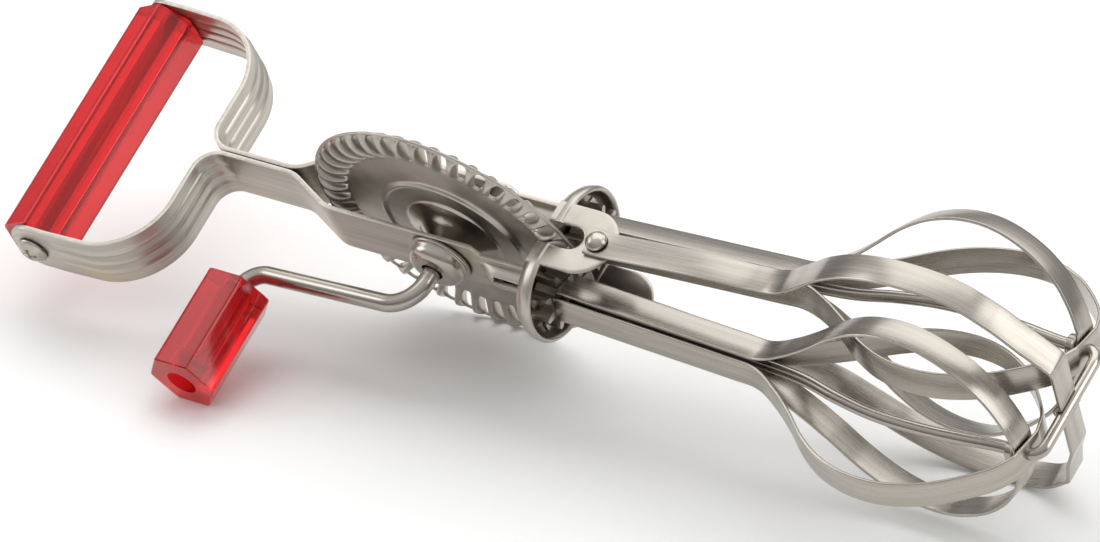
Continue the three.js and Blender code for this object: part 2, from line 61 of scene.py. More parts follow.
# %% Tool axes from the joints
hinges = {joint["name"]: joint for joint in frame["joints"]}
axle_centre = np.array(hinges["crank_turn"]["pos_m"])
tool_y = np.array(hinges["crank_turn"]["axis"], float)
tool_y /= np.linalg.norm(tool_y)
beater_start = {side: np.array(hinges[f"{side}_beater_spin"]["pos_m"]) for side in ("near", "far")}
ahead = (beater_start["near"] + beater_start["far"]) / 2 - axle_centre
tool_x = ahead - tool_y * ahead.dot(tool_y)
tool_x /= np.linalg.norm(tool_x)
tool_z = np.cross(tool_x, tool_y)
TOOL_AXES = np.array([tool_x, tool_y, tool_z])
MESH_X = float(ahead.dot(tool_x)) * MM
BEATER_Y = float(np.linalg.norm(beater_start["far"] - beater_start["near"])) / 2 * MM


def to_frame(points):
    """Millimetres along the tool's axes, as metres in the frame: centre of the axle + x X + y Y + z
    Z."""
    return axle_centre + np.asarray(points, float) / MM @ TOOL_AXES


print("beaters start at x =", round(MESH_X, 2), "and y = +-", round(BEATER_Y, 2), "mm")

# %% [markdown]
# ## Camera
# A long lens from well back keeps the strips almost parallel, as in catalogue pictures. The camera
# looks down at the table by a little over a third of a right angle, from the crank's side, and is
# rolled a little so that the tool runs downhill.

# %% Camera
AIM = Vector((-0.0108, 0.0151, 0.0252))
DISTANCE = 2.84
LENS_MM, SENSOR_MM = 395.1, 36
LOOK_DOWN = math.radians(33.3)
LOOK_TURN = math.radians(-37.65)
ROLL = math.radians(-6.47)

forward = Vector((
    math.sin(LOOK_TURN) * math.cos(LOOK_DOWN),
    math.cos(LOOK_TURN) * math.cos(LOOK_DOWN),
    -math.sin(LOOK_DOWN),
))
level = forward.cross(Vector((0, 0, 1))).normalized()
right = level * math.cos(ROLL) + level.cross(forward) * math.sin(ROLL)
up = right.cross(forward)
camera_data = bpy.data.cameras.new("camera")
camera_data.lens = LENS_MM
camera_data.sensor_width = SENSOR_MM
camera_data.clip_end = 20
camera = bpy.data.objects.new("camera", camera_data)
bpy.context.scene.collection.objects.link(camera)
camera.matrix_world = Matrix((right, up, -forward)).transposed().to_4x4()
camera.location = AIM - forward * DISTANCE
bpy.context.scene.camera = camera
print("camera at", [round(value, 3) for value in camera.location])

# %% [markdown]
# ## Helpers for surfaces
# Every new piece is a grid of points worked out by numpy. A grid becomes a mesh of four-sided
# faces, its seams are welded, and its faces are turned outwards. Each grid also carries a UV map in
# millimetres, along and across the piece, so that the grain of the metal can follow a bent strip.

# %% From a grid of points to a mesh
WELD = 2e-6  # metres: points closer than this become one
SLIVER = 1e-7  # metres: an edge shorter than this is dissolved


def grid_faces(rows, columns, close_rows, close_columns):
    """The four corners of each cell: (i, j), (i+1, j), (i+1, j+1), (i, j+1), wrapping where the
    grid closes."""
    i, j = np.meshgrid(
        np.arange(rows if close_rows else rows - 1),
        np.arange(columns if close_columns else columns - 1),
        indexing="ij",
    )
    i, j = i.ravel(), j.ravel()
    after_i, after_j = (i + 1) % rows, (j + 1) % columns
    corners = [(i, j), (after_i, j), (after_i, after_j), (i, after_j)]
    steps = [(i, j), (i + 1, j), (i + 1, j + 1), (i, j + 1)]
    faces = np.stack([a * columns + b for a, b in corners], axis=1)
    return faces, np.stack([np.stack(step, axis=1) for step in steps], axis=1)


def lengths_along(points, axis):
    """The distance travelled along one direction of a grid, averaged over the other, with one step
    more."""
    closed = np.concatenate([points, np.take(points, [0], axis=axis)], axis=axis)
    steps = np.linalg.norm(np.diff(closed, axis=axis), axis=2).mean(axis=1 - axis)
    return np.concatenate([[0], np.cumsum(steps)])


def surface(name, parts, smooth_angle=35, open_edges=False):
    """One mesh object from a list of (grid, close_rows, close_columns), each grid rows x columns x
    3 in tool mm."""
    vertices, faces, uvs, count = [], [], [], 0
    for grid, close_rows, close_columns in parts:
        grid = np.asarray(grid, float)
        rows, columns = grid.shape[:2]
        cells, steps = grid_faces(rows, columns, close_rows, close_columns)
        along, across = lengths_along(grid, 0), lengths_along(grid, 1)
        vertices.append(grid.reshape(-1, 3))
        faces.append(cells + count)
        uvs.append(np.stack([along[steps[..., 0]], across[steps[..., 1]]], axis=-1).reshape(-1, 2))
        count += rows * columns
    mesh = bpy.data.meshes.new(name)
    mesh.from_pydata(to_frame(np.concatenate(vertices)), [], np.concatenate(faces))
    layer = mesh.uv_layers.new(name="grain")
    layer.data.foreach_set("uv", np.concatenate(uvs).astype(np.float32).ravel())
    tidy = bmesh.new()
    tidy.from_mesh(mesh)
    bmesh.ops.remove_doubles(tidy, verts=tidy.verts, dist=WELD)
    bmesh.ops.dissolve_degenerate(tidy, edges=tidy.edges, dist=SLIVER)
    if not open_edges:
        bmesh.ops.recalc_face_normals(tidy, faces=tidy.faces)
    tidy.to_mesh(mesh)
    tidy.free()
    mesh.polygons.foreach_set("use_smooth", np.ones(len(mesh.polygons), bool))
    mesh.set_sharp_from_angle(angle=math.radians(smooth_angle))
    piece = bpy.data.objects.new(name, mesh)
    bpy.context.scene.collection.objects.link(piece)
    return piece


print("a 3 x 5 grid, open both ways, has", len(grid_faces(3, 5, False, False)[0]), "faces")

# %% [markdown]
# ## Lines in a plane
# A bent strip or rod is a section carried along a line that lies in a plane. The line is drawn as
# corners with bend radii, as on a workshop drawing, or as a smooth curve through a few points where
# the metal was formed freely. Either way its points end up an even distance apart, which gives even
# faces.

# %% Bent and smooth lines
def travelled(line):
    """How far along the line each point lies: the running sum of the steps between points."""
    return np.concatenate([[0], np.cumsum(np.linalg.norm(np.diff(line, axis=0), axis=1))])


def even_count(line, count):
    """The same line as this many points, an even distance apart."""
    reached = travelled(line)
    places = np.linspace(0, reached[-1], count)
    return np.stack([np.interp(places, reached, line[:, axis]) for axis in range(line.shape[1])], axis=1)


def even_steps(line, spacing):
    """The same line with its points about this far apart. Points on top of one another are dropped
    first."""
    steps = np.linalg.norm(np.diff(line, axis=0), axis=1)
    line = line[np.concatenate([[True], steps > 1e-9])]
    return even_count(line, int(travelled(line)[-1] / spacing) + 2)


def bent_line(corners, spacing=0.25):
    """Points along straight runs joined by arcs. A corner (x, y, radius) is rounded by the circle
    that touches both runs: its centre lies radius / sin(half the corner's angle) along the
    bisector."""
    pieces = [np.array([corners[0][:2]], float)]
    for before, corner, after in zip(corners, corners[1:], corners[2:]):
        point = np.array(corner[:2], float)
        back = np.array(before[:2]) - point
        on = np.array(after[:2]) - point
        back, on = back / np.linalg.norm(back), on / np.linalg.norm(on)
        radius = corner[2] if len(corner) > 2 else 0
        if not radius:
            pieces.append(point[None])
            continue
        half = math.acos(float(np.clip(back @ on, -1, 1))) / 2
        bisector = (back + on) / np.linalg.norm(back + on)
        centre = point + bisector * radius / math.sin(half)
        first = point + back * radius / math.tan(half) - centre
        turn = math.copysign(math.pi - 2 * half, on[0] * back[1] - on[1] * back[0])
        angle = np.linspace(0, turn, max(8, int(abs(turn) * radius / spacing)))
        c, s = np.cos(angle), np.sin(angle)
        pieces.append(centre + np.stack([c * first[0] - s * first[1], s * first[0] + c * first[1]], axis=1))
    pieces.append(np.array([corners[-1][:2]], float))
    return even_steps(np.concatenate(pieces), spacing)


def smooth_line(points, spacing=0.4):
    """A Catmull-Rom curve: between two points, a cubic whose slope at each is half the chord of its
    neighbours."""
    p = np.array(points, float)
    p = np.concatenate([[2 * p[0] - p[1]], p, [2 * p[-1] - p[-2]]])
    t = np.linspace(0, 1, 40, endpoint=False)[None, :, None]
    a, b, c, d = (p[i:len(p) - 3 + i][:, None, :] for i in range(4))
    square, cube = 2 * a - 5 * b + 4 * c - d, 3 * b - a - 3 * c + d
    curve = 0.5 * (2 * b + (c - a) * t + square * t**2 + cube * t**3)
    return even_steps(np.concatenate([curve.reshape(-1, 2), p[-2:-1]]), spacing)


def side_ways(line):
    """The unit normal of a line in a plane: its direction turned a quarter turn to the left."""
    direction = np.gradient(line, axis=0)
    direction /= np.linalg.norm(direction, axis=1)[:, None]
    return np.stack([-direction[:, 1], direction[:, 0]], axis=1)


print("a corner of radius 5 takes", len(bent_line([(0, 0), (10, 0, 5), (10, 10)])), "points")

# %% [markdown]
# ## Sections and sweeps
# Strip and rod keep one section all along, so a sweep makes them: the section is carried along the
# line and turned to stay square to it. Rivets, cups and screws were turned or drawn round an axis,
# so a profile swept round it makes them. Real edges are never sharp, and a small rounding is what
# catches the light.

# %% Sections, sweeps and turned profiles
def strip_section(thick, wide, corner=0.25, steps=5):
    """The outline of a flat strip with rounded edges: four quarter circles, as (along the normal,
    across)."""
    corner = min(corner, thick / 2 - 0.01)
    quarter = np.linspace(0, math.pi / 2, steps)
    arc = np.stack([np.cos(quarter), np.sin(quarter)], axis=1) * corner
    turns = [(1, 1), (-1, 1), (-1, -1), (1, -1)]
    outline = []
    for index, (a, b) in enumerate(turns):
        piece = arc * (a, b) + (a * (thick / 2 - corner), b * (wide / 2 - corner))
        outline.append(piece if index % 2 == 0 else piece[::-1])
    return np.concatenate(outline)


def round_section(radius, sides=28):
    """A circle, as (along the normal, across)."""
    angle = np.linspace(0, 2 * math.pi, sides, endpoint=False)
    return np.stack([np.cos(angle), np.sin(angle)], axis=1) * radius


def swept(line, section, basis):
    """The section carried along a plane line: p(s) + a n(s) + b k, closed by a last row shrunk to
    its middle. The basis is the origin, the two directions of the plane and k, the direction across
    it."""
    origin, first, second, cross = (np.asarray(v, float) for v in basis)
    normal = side_ways(line)
    centre = origin + line[:, :1] * first + line[:, 1:] * second
    sideways = normal[:, :1] * first + normal[:, 1:] * second
    rows = centre[:, None] + section[None, :, :1] * sideways[:, None] + section[None, :, 1:] * cross
    start, end = rows[:1], rows[-1:]
    caps = [start * 0 + start.mean(axis=1, keepdims=True), end * 0 + end.mean(axis=1, keepdims=True)]
    return np.concatenate([caps[0], rows, caps[1]])


FLAT = ((0, 0, 0), (1, 0, 0), (0, 1, 0), (0, 0, 1))
UPRIGHT = ((0, 0, 0), (1, 0, 0), (0, 0, 1), (0, -1, 0))


def turned(profile, origin=(0, 0, 0), axis=(0, 1, 0), sides=96):
    """A profile of (radius, height) points swept round an axis: origin + h axis + r (cos t, sin t)."""
    profile = np.array(profile, float)
    axis = np.array(axis, float) / np.linalg.norm(axis)
    helper = np.array([1.0, 0, 0]) if abs(axis[0]) < 0.9 else np.array([0, 0, 1.0])
    first = np.cross(axis, helper)
    first /= np.linalg.norm(first)
    second = np.cross(axis, first)
    angle = np.linspace(0, 2 * math.pi, sides, endpoint=False)
    ring = np.cos(angle)[:, None] * first + np.sin(angle)[:, None] * second
    return np.asarray(origin, float) + profile[:, None, 1:] * axis + profile[:, None, :1] * ring


def rounded_profile(points, radius=0.25, steps=5):
    """A closed profile whose corners are rounded by short arcs, for an edge that catches the light."""
    points = [tuple(p) for p in points]
    ring = [points[-1], *points, points[0]]
    corners = []
    for before, corner, after in zip(ring, ring[1:], ring[2:]):
        here, back, on = (np.array(p[:2], float) for p in (corner, before, after))
        reach = min(corner[2] if len(corner) > 2 else radius, 0.45 * min(
            np.linalg.norm(back - here), np.linalg.norm(on - here)))
        start = here + (back - here) / np.linalg.norm(back - here) * reach
        end = here + (on - here) / np.linalg.norm(on - here) * reach
        t = np.linspace(0, 1, steps)[:, None]
        corners.append((1 - t) ** 2 * start + 2 * t * (1 - t) * here + t**2 * end)
    return np.concatenate(corners)


print("strip section has", len(strip_section(1.1, 15.4)), "points")

# %% [markdown]
# ## Finishes
# The metal is stainless steel in three states. Strip comes brushed along its length, so its grain
# follows each bend. Cups, rivets and the crank are polished. The wheel was tumbled after stamping,
# which leaves it satin. The grip and knob are clear cast acrylic, saturated red, with polished
# faces and sawn ends.

# %% Material helpers
def hex_colour(text):
    """An sRGB hex colour as linear light: below 0.04045 c / 12.92, above it ((c + 0.055) / 1.055) ^
    2.4."""
    channels = [int(text[i:i + 2], 16) / 255 for i in (1, 3, 5)]
    return (*(c / 12.92 if c <= 0.04045 else ((c + 0.055) / 1.055) ** 2.4 for c in channels), 1.0)


def add_node(tree, kind, settings=None, inputs=None, links=None):
    """Adds a node with its settings, the values of its sockets, and links into its sockets."""
    node = tree.nodes.new(kind)
    for key, value in (settings or {}).items():
        setattr(node, key, value)
    for key, value in (inputs or {}).items():
        node.inputs[key].default_value = value
    for key, source in (links or {}).items():
        tree.links.new(source, node.inputs[key])
    return node


def new_material(name, **shader_values):
    """A material with its node tree and shader, and constants set on the shader's own sockets."""
    material = bpy.data.materials.new(name)
    material.use_nodes = True
    shader = material.node_tree.nodes["Principled BSDF"]
    for key, value in shader_values.items():
        shader.inputs[key.replace("_", " ")].default_value = value
    return material, material.node_tree, shader


def ramp(tree, source, stops):
    """A colour ramp from (place, colour) stops."""
    node = add_node(tree, "ShaderNodeValToRGB", links={"Fac": source})
    elements = node.color_ramp.elements
    while len(elements) < len(stops):
        elements.new(0.5)
    for element, (place, colour) in zip(elements, stops):
        element.position = place
        element.color = hex_colour(colour)
    return node.outputs["Color"]


print("mid grey #808080 is", round(hex_colour("#808080")[0], 3), "in linear light")

# %% [markdown]
# ### Brushed strip
# A belt leaves scratches a few hundredths of a millimetre wide and several millimetres long. Finer
# than a render shows, so the streaks here are drawn about 0.3 mm wide. They move the colour a
# little, the roughness more, and a very shallow bump turns them into the streaky gloss that tells
# the eye "brushed". The UV map is in millimetres along and across the strip, so a noise that is
# stretched along it is all that the grain needs. Scratches that all run one way also smear a
# reflection across themselves, which the anisotropy does, turned a quarter from the UV map.

# %% Brushed stainless strip
STREAK_LENGTH, STREAK_WIDTH = 30.0, 0.35
BAND_LENGTH, BAND_WIDTH = 55.0, 2.2
STAIN_SCALE = 42.0  # per metre, so a heat stain is about 24 mm across


def brushed_steel(name, dark, light, roughness, tint=None):
    """Colour follows 0.62 (0.6 streaks + bands) on the ramp; roughness and bump follow the streaks."""
    material, tree, shader = new_material(
        name, Metallic=1.0, Roughness=roughness, Anisotropic=0.55, Anisotropic_Rotation=0.25)
    tangent = add_node(tree, "ShaderNodeTangent", {"direction_type": "UV_MAP", "uv_map": "grain"})
    tree.links.new(tangent.outputs["Tangent"], shader.inputs["Tangent"])
    grain = add_node(tree, "ShaderNodeUVMap", {"uv_map": "grain"}).outputs["UV"]
    stretched = add_node(
        tree, "ShaderNodeMapping", inputs={"Scale": (1 / STREAK_LENGTH, 1 / STREAK_WIDTH, 1)},
        links={"Vector": grain}).outputs["Vector"]
    streaks = add_node(
        tree, "ShaderNodeTexNoise", inputs={"Scale": 1.0, "Detail": 4.0, "Roughness": 0.65},
        links={"Vector": stretched}).outputs["Fac"]
    broad = add_node(
        tree, "ShaderNodeMapping", inputs={"Scale": (1 / BAND_LENGTH, 1 / BAND_WIDTH, 1)},
        links={"Vector": grain}).outputs["Vector"]
    bands = add_node(
        tree, "ShaderNodeTexNoise", inputs={"Scale": 1.0, "Detail": 2.0},
        links={"Vector": broad}).outputs["Fac"]
    both = add_node(
        tree, "ShaderNodeMath", {"operation": "MULTIPLY_ADD"}, {1: 0.6}, {0: streaks, 2: bands}).outputs[0]
    colour = ramp(tree, add_node(
        tree, "ShaderNodeMath", {"operation": "MULTIPLY"}, {1: 0.62}, {0: both}).outputs[0],
        [(0.3, dark), (0.66, light)])
    if tint:
        place = add_node(tree, "ShaderNodeTexCoord").outputs["Object"]
        blotch = add_node(
            tree, "ShaderNodeTexNoise", inputs={"Scale": STAIN_SCALE, "Detail": 2.0},
            links={"Vector": place}).outputs["Fac"]
        patch = add_node(
            tree, "ShaderNodeMapRange", inputs={"From Min": 0.56, "From Max": 0.74, "To Max": 0.5},
            links={"Value": blotch}).outputs[0]
        colour = add_node(
            tree, "ShaderNodeMix", {"data_type": "RGBA"}, {7: hex_colour(tint)},
            {0: patch, 6: colour}).outputs[2]
    tree.links.new(colour, shader.inputs["Base Color"])
    gloss = add_node(
        tree, "ShaderNodeMapRange",
        inputs={"From Min": 0.3, "From Max": 0.7, "To Min": roughness - 0.04, "To Max": roughness + 0.05},
        links={"Value": streaks}).outputs[0]
    tree.links.new(gloss, shader.inputs["Roughness"])
    bump = add_node(
        tree, "ShaderNodeBump", inputs={"Strength": 0.1, "Distance": 0.00004}, links={"Height": streaks})
    tree.links.new(bump.outputs["Normal"], shader.inputs["Normal"])
    return material


strap_finish = brushed_steel("brushed_stainless_strap", "#A59F97", "#CBC5BC", 0.36, tint="#D2C196")
blade_finish = brushed_steel("brushed_stainless_blade", "#9B958D", "#B8B2A9", 0.25)
print(strap_finish.name, blade_finish.name)

# %% [markdown]
# ### Satin wheel, polished fittings and drawn wire
# Tumbled steel scatters light evenly and keeps small stains, so a soft noise on the object's own
# coordinates is enough. Polished steel is almost clean: only a faint cloudiness keeps it from
# looking like chrome. Wire is drawn through a die, which leaves it bright with fine lines along its
# length.

# %% Satin, polished and drawn steel
GRIT_SCALE = 2500.0  # per metre: grains of 0.4 mm, as coarse as they need to show


def clouded_steel(name, dark, light, roughness, cloud_mm, wander):
    """Colour and roughness follow soft clouds of this size; a much finer noise gives the grain."""
    material, tree, shader = new_material(name, Metallic=1.0, Roughness=roughness)
    place = add_node(tree, "ShaderNodeTexCoord").outputs["Object"]
    clouds = add_node(
        tree, "ShaderNodeTexNoise", inputs={"Scale": MM / cloud_mm, "Detail": 5.0, "Roughness": 0.6},
        links={"Vector": place}).outputs["Fac"]
    tree.links.new(ramp(tree, clouds, [(0.3, dark), (0.7, light)]), shader.inputs["Base Color"])
    gloss = add_node(
        tree, "ShaderNodeMapRange",
        inputs={
            "From Min": 0.3, "From Max": 0.7, "To Min": roughness - wander, "To Max": roughness + wander},
        links={"Value": clouds}).outputs[0]
    tree.links.new(gloss, shader.inputs["Roughness"])
    fine = add_node(
        tree, "ShaderNodeTexNoise", inputs={"Scale": GRIT_SCALE, "Detail": 2.0},
        links={"Vector": place}).outputs["Fac"]
    bump = add_node(
        tree, "ShaderNodeBump", inputs={"Strength": 0.2, "Distance": 0.00003}, links={"Height": fine})
    tree.links.new(bump.outputs["Normal"], shader.inputs["Normal"])
    return material


wheel_finish = clouded_steel("tumbled_stainless_wheel", "#A19B93", "#BDB7AE", 0.34, 9, 0.06)
polished_finish = clouded_steel("polished_stainless", "#A09A92", "#BAB4AB", 0.25, 6, 0.04)
yoke_finish = clouded_steel("pressed_stainless_yoke", "#A59F97", "#BDB7AE", 0.33, 8, 0.05)
print(wheel_finish.name, polished_finish.name, yoke_finish.name)

# %% [markdown]
# ### A brighter hub, and drawn wire
# The middle of the wheel was drawn up in a polished die, so it stays brighter than the web round
# it. The material finds the hub by its distance from the axle, so wheel and hub can share one
# finish and one mesh. The rod and the wires take the brushed finish again, with little roughness,
# because their lines also run along the metal.

# %% Polished hub and drawn rod
HUB_RADIUS = 12.6
HUB_FADE = 0.3
HUB_GLOSS = 0.55


def polish_hub(material):
    """Scales the roughness inside the hub's radius. The distance from the axle is the length of (p
    - centre) x axle."""
    tree = material.node_tree
    shader = tree.nodes["Principled BSDF"]
    satin = shader.inputs["Roughness"].links[0].from_socket
    place = add_node(tree, "ShaderNodeTexCoord").outputs["Object"]
    away = add_node(
        tree, "ShaderNodeVectorMath", {"operation": "SUBTRACT"}, {1: tuple(axle_centre)},
        {0: place}).outputs[0]
    across = add_node(
        tree, "ShaderNodeVectorMath", {"operation": "CROSS_PRODUCT"}, {1: tuple(tool_y)},
        {0: away}).outputs[0]
    distance = add_node(
        tree, "ShaderNodeVectorMath", {"operation": "LENGTH"}, links={0: across}).outputs["Value"]
    share = add_node(
        tree, "ShaderNodeMapRange", inputs={
            "From Min": (HUB_RADIUS - HUB_FADE) / MM, "From Max": HUB_RADIUS / MM,
            "To Min": HUB_GLOSS, "To Max": 1.0},
        links={"Value": distance}).outputs[0]
    gloss = add_node(
        tree, "ShaderNodeMath", {"operation": "MULTIPLY"}, links={0: satin, 1: share}).outputs[0]
    tree.links.new(gloss, shader.inputs["Roughness"])


polish_hub(wheel_finish)
rod_finish = brushed_steel("drawn_stainless_rod", "#97918A", "#BDB7AE", 0.2)
print(rod_finish.name, "and a hub polished to", HUB_RADIUS, "mm")

# %% [markdown]
# ### Clear red acrylic
# Cast acrylic bends light by 1.49. The dye colours light on its way through, so the depth of the
# red depends on how far it travels; a tinted transmission gives that look once at each face, and
# the bore and tie rod show inside. The ends were sawn and only lightly polished, so they scatter,
# which a second and rougher material on them shows.

# %% Clear red acrylic
def red_acrylic(name, roughness, colour):
    """Mostly light passed on, tinted by the colour; the rest is the milky body that scatters light
    back."""
    material, tree, shader = new_material(
        name, Roughness=roughness, IOR=1.49, Transmission_Weight=0.82,
        Specular_IOR_Level=0.3, Base_Color=hex_colour(colour))
    place = add_node(tree, "ShaderNodeTexCoord").outputs["Object"]
    ripple = add_node(
        tree, "ShaderNodeTexNoise", inputs={"Scale": 90.0, "Detail": 1.0},
        links={"Vector": place}).outputs["Fac"]
    bump = add_node(
        tree, "ShaderNodeBump", inputs={"Strength": 0.06, "Distance": 0.0002}, links={"Height": ripple})
    tree.links.new(bump.outputs["Normal"], shader.inputs["Normal"])
    return material


acrylic_face = red_acrylic("clear_red_acrylic_polished", 0.05, "#E6252A")
acrylic_sawn = red_acrylic("clear_red_acrylic_sawn", 0.3, "#EE3A3C")
print(acrylic_face.name, acrylic_sawn.name)

# %% [markdown]
# ## Putting a piece on its body
# Each fine piece takes the place of one or more of the plain CAD solids, and moves with the same
# body as they do, so the crank still turns and the beaters still spin. One helper says all of this
# for every piece.

# %% Putting a piece on its body
def fit(piece, body, nodes, finish):
    """The piece rides its body, stands for its CAD nodes and hides them, and takes the given finish if it
    has no material yet.
    slot."""
    if not piece.data.materials:
        piece.data.materials.append(finish)
    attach(piece, body)
    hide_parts(*nodes)
    print(piece.name, "on", body, "with", len(piece.data.polygons), "faces")


# %% [markdown]
# ## Frame straps
# Each strap is a 15.4 mm strip pressed to shape: three ribs stiffen the bow round the finger gap,
# and the tongue by the yoke has a half-round channel, with a slit beside it, that holds the end of
# the axle wire. The far strap stands further from the wheel, and both channels are pressed towards
# the crank. A pressed sheet has the same thickness everywhere, so the strap is worked out as its
# middle surface, with ribs and channel as small shifts along the normal, and a Solidify modifier
# gives it the thickness. A sweep of a fixed section couldn't change along the way.

# %% Strap widths, ribs and channel
STRAP_THICK = 1.1
STRAP_HALF, TONGUE_HALF = 7.7, 5.0
SHOULDER_X = (10.9, 13.0)
ROUND_END_X, ROUND_END_LENGTH = -102.5, 7.0
RIBS = (-3.7, 0.0, 3.7)
RIBS_X = (-98, -64)
RIB_HEIGHT, RIB_SPREAD = 0.5, 0.55
CHANNEL_X, CHANNEL_RUN = 11.0, 7.0
CHANNEL_HALF = 2.65


def strap_half_width(x):
    """Half the strap's width at a place: a round end, the full width, then the tongue past the
    shoulder."""
    run_out = np.clip((ROUND_END_X - x) / ROUND_END_LENGTH, 0, 1)
    round_end = np.sqrt(np.clip(1 - run_out ** 2.4, 0, 1))
    return round_end * np.interp(x, SHOULDER_X, [STRAP_HALF, TONGUE_HALF])


def rib_rise(x, z):
    """Three ridges with a bell-shaped section, which fade in past the screw and out at the neck."""
    fade = np.clip((x - RIBS_X[0]) / 4, 0, 1) * np.clip((RIBS_X[1] - x) / 5, 0, 1)
    ridges = sum(np.exp(-((z - rib) / RIB_SPREAD) ** 2) for rib in RIBS)
    return RIB_HEIGHT * fade * ridges


def channel_rise(x, z, depth):
    """A half-round trough: depth times the square root of 1 - |z / half|^2.6, running out smoothly."""
    across = np.sqrt(np.clip(1 - (np.abs(z) / CHANNEL_HALF) ** 2.6, 0, 1))
    end = np.clip((x - CHANNEL_X) / CHANNEL_RUN, 0, 1)
    return depth * across * end * end * (3 - 2 * end)


print("rib height at x = -80:", round(float(rib_rise(-80.0, 0.0)), 2), "mm")

# %% [markdown]
# ### The straps' side view, and the slit
# Seen from the side, each strap runs past the grip, bends round the bow, comes in to the neck where
# the two straps meet, and leaves it again to pass the wheel. The slit beside the channel is a few
# faces taken out of the middle surface before it gets its thickness, so that the thickness also
# closes the slit's edges.

# %% Straps
STRAP_END_X, GRIP_SIDE_Y = -109.4, 34.25
BOW_X, BOW_Y = -70.2, 33.35
NECK_X, NECK_Y = -44, 0.7
YOKE_X = 28.4
SLIT_X, SLIT_Z = (17.2, 25.2), (0.7, 1.75)
ACROSS_STRAP = 75


def strap_line(sign, beside_wheel, leaves_neck):
    """The middle line in the plane of x and y, as corners with their bend radii."""
    line = bent_line([
        (-109.6, sign * GRIP_SIDE_Y), (-97, sign * GRIP_SIDE_Y, 40), (BOW_X, sign * BOW_Y, 17.5),
        (BOW_X, sign * NECK_Y, 6), (NECK_X, sign * NECK_Y, 9), (leaves_neck, beside_wheel, 9),
        (YOKE_X, beside_wheel)], 0.3)
    return line[line[:, 0] > STRAP_END_X]


def cut_slit(piece):
    """Takes out the faces whose middles lie in the slit's rectangle of x and z."""
    middles = np.empty(len(piece.data.polygons) * 3)
    piece.data.polygons.foreach_get("center", middles)
    x, _, z = ((middles.reshape(-1, 3) - axle_centre) @ TOOL_AXES.T * MM).T
    inside = (x > SLIT_X[0]) & (x < SLIT_X[1]) & (z > SLIT_Z[0]) & (z < SLIT_Z[1])
    cut = bmesh.new()
    cut.from_mesh(piece.data)
    cut.faces.ensure_lookup_table()
    hole = [cut.faces[index] for index in np.flatnonzero(inside).tolist()]
    bmesh.ops.delete(cut, geom=hole, context="FACES")
    cut.to_mesh(piece.data)
    cut.free()


def strap(side, sign, beside_wheel, leaves_neck, channel_depth):
    """The middle surface is the line plus (ribs + channel) along its normal, spread across z."""
    line = strap_line(sign, beside_wheel, leaves_neck)
    normal = side_ways(line) * sign
    x = line[:, :1]
    z = np.linspace(-1, 1, ACROSS_STRAP)[None] * strap_half_width(x)
    rise = rib_rise(x, z) + channel_rise(x, z, channel_depth)
    middle = np.stack([x + normal[:, :1] * rise, line[:, 1:] + normal[:, 1:] * rise, z], axis=2)
    piece = surface(f"{side}_strap", [(middle, False, False)], open_edges=True)
    cut_slit(piece)
    wall = piece.modifiers.new("wall", "SOLIDIFY")
    wall.thickness = STRAP_THICK / MM
    wall.offset = 0
    edge = piece.modifiers.new("edge", "BEVEL")
    edge.width = 0.00022
    edge.segments = 2
    edge.limit_method = "ANGLE"
    edge.angle_limit = math.radians(50)
    fit(piece, "frame", [f"{side}_frame_strap"], strap_finish)


strap("near", -1, beside_wheel=-6.9, leaves_neck=-31, channel_depth=3.4)
strap("far", 1, beside_wheel=11.5, leaves_neck=-29, channel_depth=-5.6)

# %% [markdown]
# ## Grip and knob
# Both are hexagonal bars of clear acrylic, cut to length, with a bore through them. A grid whose
# rows go along the outside, over the end, back through the bore and over the other end closes on
# itself and shows the bore through the clear wall, which a solid bar could not. The rings of a bar
# are hexagons outside and circles in the bore.

# %% Hexagonal acrylic bars
CORNER_CUT = 0.12


def hexagon(side_length, first_angle, sides=16):
    """Points round a hexagon with slightly rounded edges, the same number on each side."""
    corner_angle = first_angle + np.arange(7) * math.pi / 3
    corners = side_length * np.stack([np.cos(corner_angle), np.sin(corner_angle)], axis=1)
    t = (0.5 - 0.5 * np.cos(np.linspace(0, math.pi, sides, endpoint=False)))[:, None]
    points = np.concatenate([a + (b - a) * t for a, b in zip(corners[:-1], corners[1:])])
    reach = np.linalg.norm(points, axis=1)
    return points * np.minimum(1, (side_length - CORNER_CUT) / reach)[:, None]


def acrylic_bar(name, centre, side_length, first_angle, rings):
    """A bar from rings (is_hexagon, scale or radius, y). Faces that look along the bar are the sawn
    ends."""
    outline = hexagon(side_length, first_angle)
    angle = np.arctan2(outline[:, 1], outline[:, 0])
    circle = np.stack([np.cos(angle), np.sin(angle)], axis=1)
    rows = []
    for is_hexagon, scale, y in rings:
        ring = outline * scale if is_hexagon else circle * scale
        x, z = centre[0] + ring[:, 0], centre[1] + ring[:, 1]
        rows.append(np.stack([x, np.full(len(ring), y), z], axis=1))
    piece = surface(name, [(np.array(rows), True, True)], smooth_angle=20)
    piece.data.materials.append(acrylic_face)
    piece.data.materials.append(acrylic_sawn)
    normals = np.empty(len(piece.data.polygons) * 3)
    piece.data.polygons.foreach_get("normal", normals)
    sawn = np.abs(normals.reshape(-1, 3) @ tool_y) > 0.9
    piece.data.polygons.foreach_set("material_index", sawn.astype(np.int32))
    print(name, "has", int(sawn.sum()), "sawn faces")
    return piece


# %% [markdown]
# ### The grip on its tie rod, and the knob
# The grip is pulled up between the straps by a rod through its bore, so the rod shows through the
# red as a darker line. The knob turns on the crank's pin and has a wider, shallow bore at its outer
# end for the retainer. Both ends of each bar are eased by 0.3 mm, as a sawn end is before it is
# polished.

